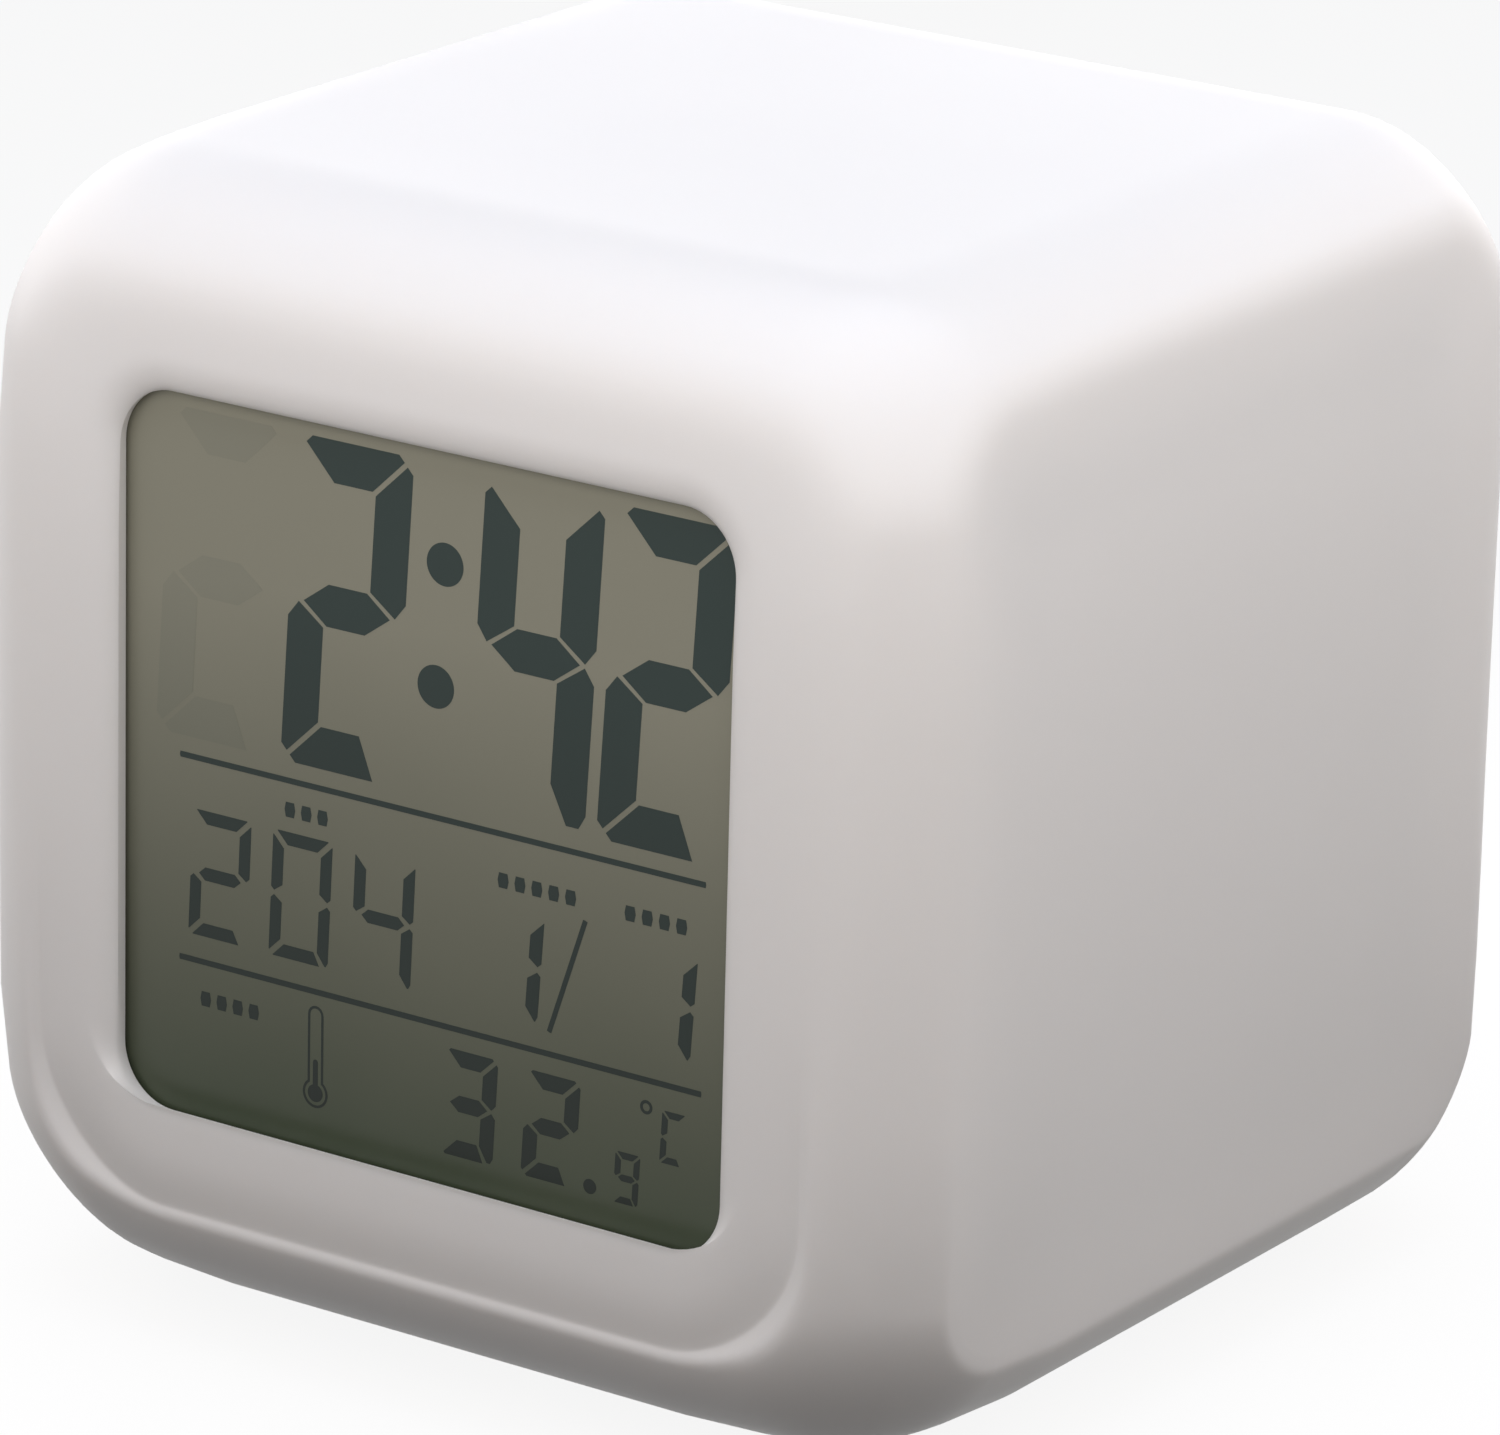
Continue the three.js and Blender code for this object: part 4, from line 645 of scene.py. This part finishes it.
def outside_rows(side):
    """The outside of one wall, with the lip, the seat or the pocket that it holds."""
    size = side_size(side, CASE_HALF)
    skin = partial(skin_height, side, size)
    rows = []
    for ring in side_rings(side, size):
        rows.append([soften(point) for point in on_side(side, CASE_MIDDLE, ring, skin)])
    if side == "front":
        rows += lip_rows(size)
    elif side == "rear":
        rows.append(on_side(side, CASE_MIDDLE, SEAT, lambda across, up: skin(across, up) - RIM_EASE))
        rows += [on_side(side, CASE_MIDDLE, ring, SEAT_FLOOR) for ring in (SEAT, OPENINGS["rear"])]
    elif side == "bottom":
        heights = (size.z - RIM_EASE, CASE_MIDDLE.z - POCKET_TOP)
        rows += [on_side(side, CASE_MIDDLE, POCKET, height) for height in heights]
    return rows


def inside_rows(side):
    """The inside of one wall, in to its opening or its flat part."""
    size = side_size(side, ROOM_HALF)
    rim = outline(size.x - ROOM_RADIUS, size.y - ROOM_RADIUS, ROOM_CORNER)
    if side in OPENINGS:
        shift = Vector((0, (CASE_MIDDLE - ROOM_MIDDLE).dot(Vector(SIDES[side][1]))))
        rim = [point + shift for point in OPENINGS[side]]
    skin = partial(bulge, size=size, radius=ROOM_RADIUS)
    rings = between(ridge(size, ROOM_RADIUS), rim, ROOM_STEPS)
    rows = [on_side(side, ROOM_MIDDLE, ring, skin) for ring in rings]
    rows.append(on_side(side, ROOM_MIDDLE, rim, size.z))
    if side == "rear":
        rows.append(on_side(side, CASE_MIDDLE, OPENINGS["rear"], SEAT_FLOOR))
    return rows


def case_shell():
    """One-piece milky case: a rounded cube with walls, open at the window, the rear and the base."""
    bm = bmesh.new()
    for side in SIDES:
        loft(bm, outside_rows(side))
        loft(bm, inside_rows(side))

    # Floor over the base, with the spring's well and the slots for the hooks
    holes = [outline(WELL_RADIUS, WELL_RADIUS, WELL_RADIUS), *hook_slots()]
    heights = (CASE_MIDDLE.z - POCKET_TOP, CASE_MIDDLE.z - FLOOR_TOP)
    for height in heights:
        cover(bm, on_side("bottom", CASE_MIDDLE, POCKET, height),
              [on_side("bottom", CASE_MIDDLE, hole, height) for hole in holes])
    for hole in holes:
        loft(bm, [on_side("bottom", CASE_MIDDLE, hole, height) for height in heights])
    bmesh.ops.remove_doubles(bm, verts=bm.verts, dist=MERGE)
    bmesh.ops.holes_fill(bm, edges=bm.edges, sides=0)
    make_piece("case_shell", bm, "case", [milky], ["shell"])


case_shell()


def raise_print(bm, faces):
    """Give flat shapes on the display their thin body."""
    raised = bmesh.ops.extrude_face_region(bm, geom=faces)
    moved = [item for item in raised["geom"] if isinstance(item, bmesh.types.BMVert)]
    bmesh.ops.translate(bm, vec=(0, -INK, 0), verts=moved)


def printed(bm, points):
    """Print one flat shape on the display from its outline."""
    corners = [bm.verts.new((x, FILM_FACE, WINDOW_MIDDLE + z)) for x, z in points]
    raise_print(bm, [bm.faces.new(corners)])


def printed_band(bm, outer, inner):
    """Raise a closed line on the display, between two outlines."""
    rows = []
    for points, y in ((outer, 0), (outer, -INK), (inner, -INK), (inner, 0), (outer, 0)):
        rows.append([Vector((p[0], FILM_FACE + y, WINDOW_MIDDLE + p[1])) for p in points])
    loft(bm, rows)


def dot(across, up, radius):
    """Outline of a round dot."""
    return [point + Vector((across, up)) for point in outline(radius, radius, radius)]


def line(bm, start, end, thick):
    """Print a straight line with pointed ends."""
    start, end = Vector(start), Vector(end)
    along = (end - start).normalized() * thick * LINE_TIP
    side = along.orthogonal().normalized() * thick / 2
    first, last = start + along, end - along
    printed(bm, [start, first - side, last - side, end, last + side, first + side])


def thermometer(half, top, bulb):
    """Outline of a tube that stands on a round bulb."""
    joint = math.asin(half / bulb)
    points = []
    for step in range(TUBE_STEPS + 1):
        turn = step / TUBE_STEPS * math.pi
        points.append(Vector((BULB_MIDDLE.x + half * math.cos(turn), top - half + half * math.sin(turn))))
    for step in range(BULB_STEPS + 1):
        turn = math.pi / 2 + joint + step / BULB_STEPS * (2 * math.pi - 2 * joint)
        points.append(BULB_MIDDLE + bulb * Vector((math.cos(turn), math.sin(turn))))
    return points


def stroke_outlines(width, height, thick, gap):
    """Outlines of the seven strokes of an upright figure, from its lower left corner."""
    cut = CORNER_CUT * thick
    back = STROKE_GAP * gap
    middle, half = height / 2, thick / 2
    tip = BAR_TIP * thick
    end = width - BOTTOM_END * thick
    heel = HEEL_RISE * thick
    near, far = thick + 2 * back, width - thick - 2 * back
    inner, high = width - thick, height - thick

    def mirrored(points):
        return [(width - x, z) for x, z in points]

    def flipped(points):
        return [(x, height - z) for x, z in points]

    top = [(cut / 2 + back, height - cut / 2 + back), (cut, height), (width - cut, height),
           (width - cut / 2 - back, height - cut / 2 + back), (far, high), (near, high)]
    upper_left = [(cut / 2 - back, height - cut / 2 - back), (thick, high - 2 * back),
                  (thick, middle + half + back), (tip, middle + back), (0, middle + cut), (0, height - cut)]
    bar = [(tip + 3 * back, middle), (near, middle + half), (far, middle + half),
           (width - tip - 3 * back, middle), (far, middle - half), (near, middle - half)]
    bottom = [(cut / 2 + back, cut / 2 - back), (cut, 0), (end - back, 0), (far, thick), (near, thick)]
    lower_right = [(width - tip, middle - back), (width, middle - cut), (width, cut),
                   (width - HEEL_CUT * cut, heel), (end + 2 * back, heel), (inner, thick),
                   (inner, middle - half - back)]
    return {
        "a": top, "b": mirrored(upper_left), "c": lower_right, "d": bottom,
        "e": flipped(upper_left), "f": upper_left, "g": bar,
    }


def figure(bm, shape, corner, size):
    """Print one seven-stroke figure that leans a little to the right."""
    width, height, thick, gap, lean_share = size
    left, low = corner
    outlines = stroke_outlines(width, height, thick, gap)
    for name in STROKES[shape]:
        printed(bm, [(left + x + lean_share * (z - height / 2), low + z) for x, z in outlines[name]])


def display_figures():
    """Everything that the display shows, as groups of raised shapes on its film."""
    groups = {name: bmesh.new() for name in FIGURES}
    for name, figures in FIGURES.items():
        for shape, corner, size in figures:
            figure(groups[name], shape, corner, size)

    for place in COLON_DOTS:
        printed(groups["time"], dot(*place, COLON_RADIUS))
    line(groups["date"], *SLASH_ENDS, SLASH_WIDTH)

    heat = groups["temperature"]
    printed(heat, dot(*POINT_PLACE, POINT_RADIUS))
    printed_band(heat, *[dot(*DEGREE_PLACE, radius) for radius in DEGREE_RADII])
    printed_band(heat, thermometer(*GLASS_OUTSIDE), thermometer(*GLASS_INSIDE))
    printed(heat, thermometer(*GLASS_FILLING))

    labels = groups["labels"]
    left, right = RULE_ENDS
    for up in RULE_HEIGHTS:
        line(labels, (left, up), (right, up), RULE_WIDTH)
    wide, tall = BLOCK
    for left, up, count in HEADINGS:
        for start in (left + BLOCK_PITCH * place for place in range(count)):
            line(labels, (start, up), (start + wide, up), tall)

    for name, bm in groups.items():
        make_piece("display_" + name, bm, "case", [faint if name == "ghosts" else ink])


display_figures()


def eased(node, material):
    """Stand in for a solid with a copy of it whose edges are rounded off a little."""
    body, slot, width = EASED[node]
    bm = bmesh.new()
    bm.from_mesh(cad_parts[node].data)
    bmesh.ops.scale(bm, vec=(1 / MM, 1 / MM, 1 / MM), verts=bm.verts)
    bmesh.ops.remove_doubles(bm, verts=bm.verts, dist=MERGE)
    bmesh.ops.dissolve_limit(bm, angle_limit=FLAT_BEND, verts=bm.verts, edges=bm.edges)
    paired = [edge for edge in bm.edges if len(edge.link_faces) == 2]
    sharp = [edge for edge in paired if edge.calc_face_angle() > SHARP]
    bmesh.ops.bevel(bm, geom=sharp, offset=width, affect="EDGES", segments=EASE_STEPS, profile=0.5,
                    material=-1, clamp_overlap=True)
    piece = make_piece("smooth_" + node, bm, body, [material], [node])
    even = piece.modifiers.new("even_shading", "WEIGHTED_NORMAL")
    even.keep_sharp = True
    even.weight = EVEN_WEIGHT


eased("rear_cover", milky)
eased("battery_door", milky)
eased("slide_knob", black)
eased("base_plate", white)


def arc_steps(count):
    """Sine and fall of a quarter round, from its start to its end."""
    turns = [math.pi / 2 * step / count for step in range(count + 1)]
    return [(math.sin(turn), 1 - math.cos(turn)) for turn in turns]


def spun(bm, profile, middle, axis):
    """Turn a profile of radius and height round an axis."""
    out = Vector(axis).orthogonal().normalized()
    verts = [bm.verts.new(middle + out * r + Vector(axis) * h) for r, h in profile]
    edges = [bm.edges.new(pair) for pair in zip(verts, verts[1:])]
    bmesh.ops.spin(bm, geom=verts + edges, cent=middle, axis=axis, angle=2 * math.pi, steps=SPIN_STEPS,
                   use_merge=True)


def feet():
    """Four rubber pads with rounded lower rims."""
    for number, (x, y) in enumerate(((-1, -1), (1, -1), (1, 1), (-1, 1)), 1):
        bm = bmesh.new()
        profile = [(0, FOOT_HEIGHT), (FOOT_RADIUS, FOOT_HEIGHT), (FOOT_RADIUS, FOOT_ROUND)]
        for sine, fall in arc_steps(FOOT_STEPS)[1:]:
            profile.append((FOOT_RADIUS - FOOT_ROUND * fall, FOOT_ROUND * (1 - sine)))
        profile.append((0, 0))
        spun(bm, profile, Vector((x * FOOT_OFFSET, y * FOOT_OFFSET, 0)), (0, 0, 1))
        make_piece(f"rubber_foot_{number}", bm, "base", [rubber], [f"foot_{number}"])


feet()


def base_spring():
    """Coil spring that presses the base down and is shortened when the base goes in; it is drawn here at one
    length.
    """
    bm = bmesh.new()
    low, high = SPRING_ENDS
    turned = Matrix.Translation((SPRING_RADIUS, 0, low)) @ Matrix.Rotation(math.pi / 2, 4, "X")
    wire = bmesh.ops.create_circle(bm, segments=SPRING_SIDES, radius=SPRING_WIRE, matrix=turned)
    steps = round(SPRING_STEPS * SPRING_TURNS)
    rise = Vector((0, 0, (high - low) / steps))
    edges = list({edge for vert in wire["verts"] for edge in vert.link_edges})
    bmesh.ops.spin(bm, geom=wire["verts"] + edges, cent=(0, 0, 0), axis=(0, 0, 1), dvec=rise,
                   angle=2 * math.pi * SPRING_TURNS, steps=steps)
    bmesh.ops.holes_fill(bm, edges=bm.edges, sides=0)
    piece = make_piece("coil_spring", bm, "case", [steel], ["base_spring"])
    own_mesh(piece)


base_spring()


def keys():
    """Four keys with softly rounded tops, each on a flange and a stem behind the panel."""
    for name, (x, up) in KEY_PLACES.items():
        levels = [(STEM_RADIUS, STEM_RADIUS, STEM_RADIUS, y) for y in (STEM_END, FLANGE_Y[0])]
        across, tall = KEY_HALF
        rim = FLANGE_RIM
        levels += [(across + rim, tall + rim, KEY_CORNER + rim, y) for y in FLANGE_Y]
        levels.append((across, tall, KEY_CORNER, FLANGE_Y[1]))
        for sine, fall in arc_steps(ARC_STEPS):
            inset = KEY_ROUND * fall
            top = KEY_TOP - KEY_ROUND * (1 - sine)
            levels.append((across - inset, tall - inset, KEY_CORNER - inset, top))
        rings = []
        for half_across, half_up, radius, y in levels:
            points = [Vector((point.x - x, point.y + up)) for point in outline(half_across, half_up, radius)]
            rings.append(on_side("rear", CASE_MIDDLE, points, y))
        bm = bmesh.new()
        loft(bm, rings)
        cover(bm, rings[0])
        cover(bm, rings[-1])
        make_piece(f"{name}_cap", bm, f"{name}_button", [white], [f"{name}_key"])


keys()


def cover_screws():
    """Four plated screws with a domed head and a cross in it."""
    reach, half = CROSS_REACH, CROSS_HALF
    arm = [Vector(corner) for corner in ((half, half), (half, reach), (-half, reach))]
    crown, seat, taper, tip = SCREW_LEVELS
    for number, (x, up) in enumerate(((-1, -1), (1, -1), (1, 1), (-1, 1)), 1):
        middle = Vector((-x * SCREW_OFFSET, up * SCREW_OFFSET))
        turns = [Matrix.Rotation(turn * math.pi / 2, 2) for turn in range(4)]
        cross = [middle + around @ corner for around in turns for corner in arm]
        levels = [(SCREW_HEAD - (SCREW_HEAD - SCREW_CROWN) * fall, crown + (SCREW_FACE - crown) * rise)
                  for rise, fall in reversed(arc_steps(ARC_STEPS))]
        levels += [(SCREW_HEAD, seat), (SCREW_RADIUS, seat), (SCREW_RADIUS, taper), (SCREW_RADIUS / 2, tip)]
        rings = [on_side("rear", CASE_MIDDLE, dot(*middle, radius), y) for radius, y in levels]
        mouth = on_side("rear", CASE_MIDDLE, cross, SCREW_FACE)
        bottom = on_side("rear", CASE_MIDDLE, cross, SCREW_FACE - CROSS_DEPTH)
        bm = bmesh.new()
        loft(bm, rings)
        loft(bm, [mouth, bottom])
        cover(bm, rings[0], [mouth])
        cover(bm, bottom)
        cover(bm, rings[-1])
        make_piece(f"crosshead_{number}", bm, "case", [steel], [f"cover_screw_{number}"])


cover_screws()


def cells():
    """Three cells in printed sleeves, the middle one turned over."""
    for number, place in enumerate((-1, 0, 1), 1):
        flat_end = Vector((place * CELL_PITCH, CELL_Y, CELL_ENDS[place == 0]))
        bm = bmesh.new()
        spun(bm, CELL_PROFILE, flat_end, (0, 0, 1 if place else -1))
        for face in bm.faces:
            spot = face.calc_center_median() - flat_end
            if spot.xy.length < SLEEVE_FOLD:
                face.material_index = 2
            elif CELL_BAND[0] < abs(spot.z) < CELL_BAND[1]:
                face.material_index = 1
        make_piece(f"cell_{number}", bm, "case", [sleeve, band, steel], [f"battery_{number}"])


cells()

# Finishes of the solids that stay as they are
KEPT = {
    film: ["front_polariser"],
    faint: ["rear_polariser"],
    white: ["lcd_frame"],
    black: ["sounder", "temperature_sensor", "mode_plunger", "set_plunger", "up_plunger", "down_plunger",
            "light_switch_plunger"],
    epoxy: ["controller_chip"],
    steel: ["crystal", "mode_switch", "set_switch", "up_switch", "down_switch", "light_switch",
            "slide_switch", "link_contact_lower", "link_contact_upper", "negative_contact",
            "positive_contact", "board_screw_1", "board_screw_2", "board_screw_3", "board_screw_4"],
    acrylic: ["light_guide"],
    glass: ["lcd_front_glass", "lcd_rear_glass"],
    silicone: ["zebra_strip_upper", "zebra_strip_lower"],
    board: ["main_board", "key_board", "light_board"],
    vinyl: ["ribbon_cable", "light_lead"],
    lamp: ["glow_lamp_1", "glow_lamp_2"],
}
for material, nodes in KEPT.items():
    for node in nodes:
        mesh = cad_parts[node].data
        mesh.materials.clear()
        mesh.materials.append(material)

# Floor, light and camera
FLOOR_SIZE = 6000
CAMERA_TURN = math.radians(34.224)
CAMERA_LIFT = math.radians(18.156)
CAMERA_ROLL = math.radians(1.413)
CAMERA_AWAY = 583.866
CAMERA_LENS = 211.763
CAMERA_SENSOR = 36
CAMERA_NEAR = 0.01
AIM = Vector((-0.25, 0, 37.63))
FLOOR_SHADE = "#4A4846"  # what the floor throws back on to the clock
FLOOR_GLOW = 0.9  # share of plain white in what the eye sees of it
ROOM_LIGHT = 0.06
ROOM_TINT = "#FFFBF7"
OVERHEAD_SIZE = 0.53  # lamps are in metres and watts
OVERHEAD_HEIGHT = 0.5
OVERHEAD_POWER = 1.8
OVERHEAD_TINT = "#EAF1FF"
STRIP_SIZE = (0.25, 0.1)
STRIP_AWAY = 0.13
STRIP_HEIGHT = 0.1
STRIP_TINT = "#FFF9F6"
STRIP_POWER = {"front": 0.116, "right": 0.109, "rear": 0.085, "left": 0.085}


def white_to_eye(tree, light_path):
    """How far a ray is one that should see the plain white ground."""
    seen = light_path.outputs["Is Camera Ray"]
    for kind in ("Is Glossy Ray", "Is Transmission Ray"):
        seen = add(tree, "Math", {0: seen, 1: light_path.outputs[kind]}, operation="MAXIMUM").outputs[0]
    return seen


def floor():
    """A pale floor that shows white to the eye, with a soft shadow left on it."""
    bm = bmesh.new()
    bmesh.ops.create_grid(bm, x_segments=1, y_segments=1, size=FLOOR_SIZE * MM / 2)
    mesh = bpy.data.meshes.new("floor")
    bm.to_mesh(mesh)
    bm.free()
    made = bpy.data.materials.new("pale_floor")
    made.use_nodes = True
    tree = made.node_tree
    tree.nodes.clear()
    seen = white_to_eye(tree, add(tree, "LightPath"))
    paint = add(tree, "Mix", {0: seen, 6: tint(FLOOR_SHADE), 7: (1, 1, 1, 1)}, data_type="RGBA")
    matt = add(tree, "BsdfDiffuse", {"Color": paint.outputs[2]})
    glow = add(tree, "Emission", {"Color": (1, 1, 1, 1), "Strength": 1.0})
    share = add(tree, "Math", {0: seen, 1: FLOOR_GLOW}, operation="MULTIPLY")
    both = add(tree, "MixShader", {0: share.outputs[0], 1: matt.outputs[0], 2: glow.outputs[0]})
    add(tree, "OutputMaterial", {"Surface": both.outputs[0]})
    mesh.materials.append(made)
    ground = bpy.data.objects.new("floor", mesh)
    bpy.context.scene.collection.objects.link(ground)


def hang_lamp(name, size, place, power, colour):
    """Hang a soft lamp that shines on the middle of the case."""
    panel = bpy.data.lights.new(name, "AREA")
    panel.shape = "RECTANGLE"
    panel.size, panel.size_y = size
    panel.energy = power
    panel.color = tint(colour)[:3]
    hung = bpy.data.objects.new(name, panel)
    hung.location = place
    hung.rotation_euler = (place - CASE_MIDDLE * MM).to_track_quat("Z", "Y").to_euler()
    hung.visible_camera = False
    bpy.context.scene.collection.objects.link(hung)


def studio_light():
    """A little room light, four long warm lamps round the clock and a wide cool one over it."""
    world = bpy.data.worlds.new("soft_room")
    bpy.context.scene.world = world
    world.use_nodes = True
    tree = world.node_tree
    tree.nodes.clear()
    seen = white_to_eye(tree, add(tree, "LightPath"))
    room = add(tree, "Background", {"Color": tint(ROOM_TINT), "Strength": ROOM_LIGHT})
    plain = add(tree, "Background", {"Color": (1, 1, 1, 1), "Strength": 1.0})
    both = add(tree, "MixShader", {0: seen, 1: room.outputs[0], 2: plain.outputs[0]})
    add(tree, "OutputWorld", {"Surface": both.outputs[0]})
    overhead = Vector((0, 0, OVERHEAD_HEIGHT))
    hang_lamp("overhead", (OVERHEAD_SIZE, OVERHEAD_SIZE), overhead, OVERHEAD_POWER, OVERHEAD_TINT)
    for name, power in STRIP_POWER.items():
        place = Vector(SIDES[name][2]) * STRIP_AWAY + Vector((0, 0, STRIP_HEIGHT))
        hang_lamp(name, STRIP_SIZE, place, power, STRIP_TINT)


def camera():
    """The camera that took in the clock from its right, a little above."""
    back = Vector((math.sin(CAMERA_TURN) * math.cos(CAMERA_LIFT),
                   -math.cos(CAMERA_TURN) * math.cos(CAMERA_LIFT), math.sin(CAMERA_LIFT)))
    right = Vector((math.cos(CAMERA_TURN), math.sin(CAMERA_TURN), 0))
    axes = Matrix((right, back.cross(right), back)).transposed() @ Matrix.Rotation(CAMERA_ROLL, 3, "Z")
    data = bpy.data.cameras.new("camera")
    data.sensor_fit = "HORIZONTAL"
    data.sensor_width = CAMERA_SENSOR
    data.lens = CAMERA_LENS
    data.clip_start = CAMERA_NEAR
    seen_from = bpy.data.objects.new("camera", data)
    seen_from.matrix_world = Matrix.Translation((AIM + back * CAMERA_AWAY) * MM) @ axes.to_4x4()
    bpy.context.scene.collection.objects.link(seen_from)
    bpy.context.scene.camera = seen_from


floor()
studio_light()
camera()
bpy.context.scene.view_settings.view_transform = "Standard"
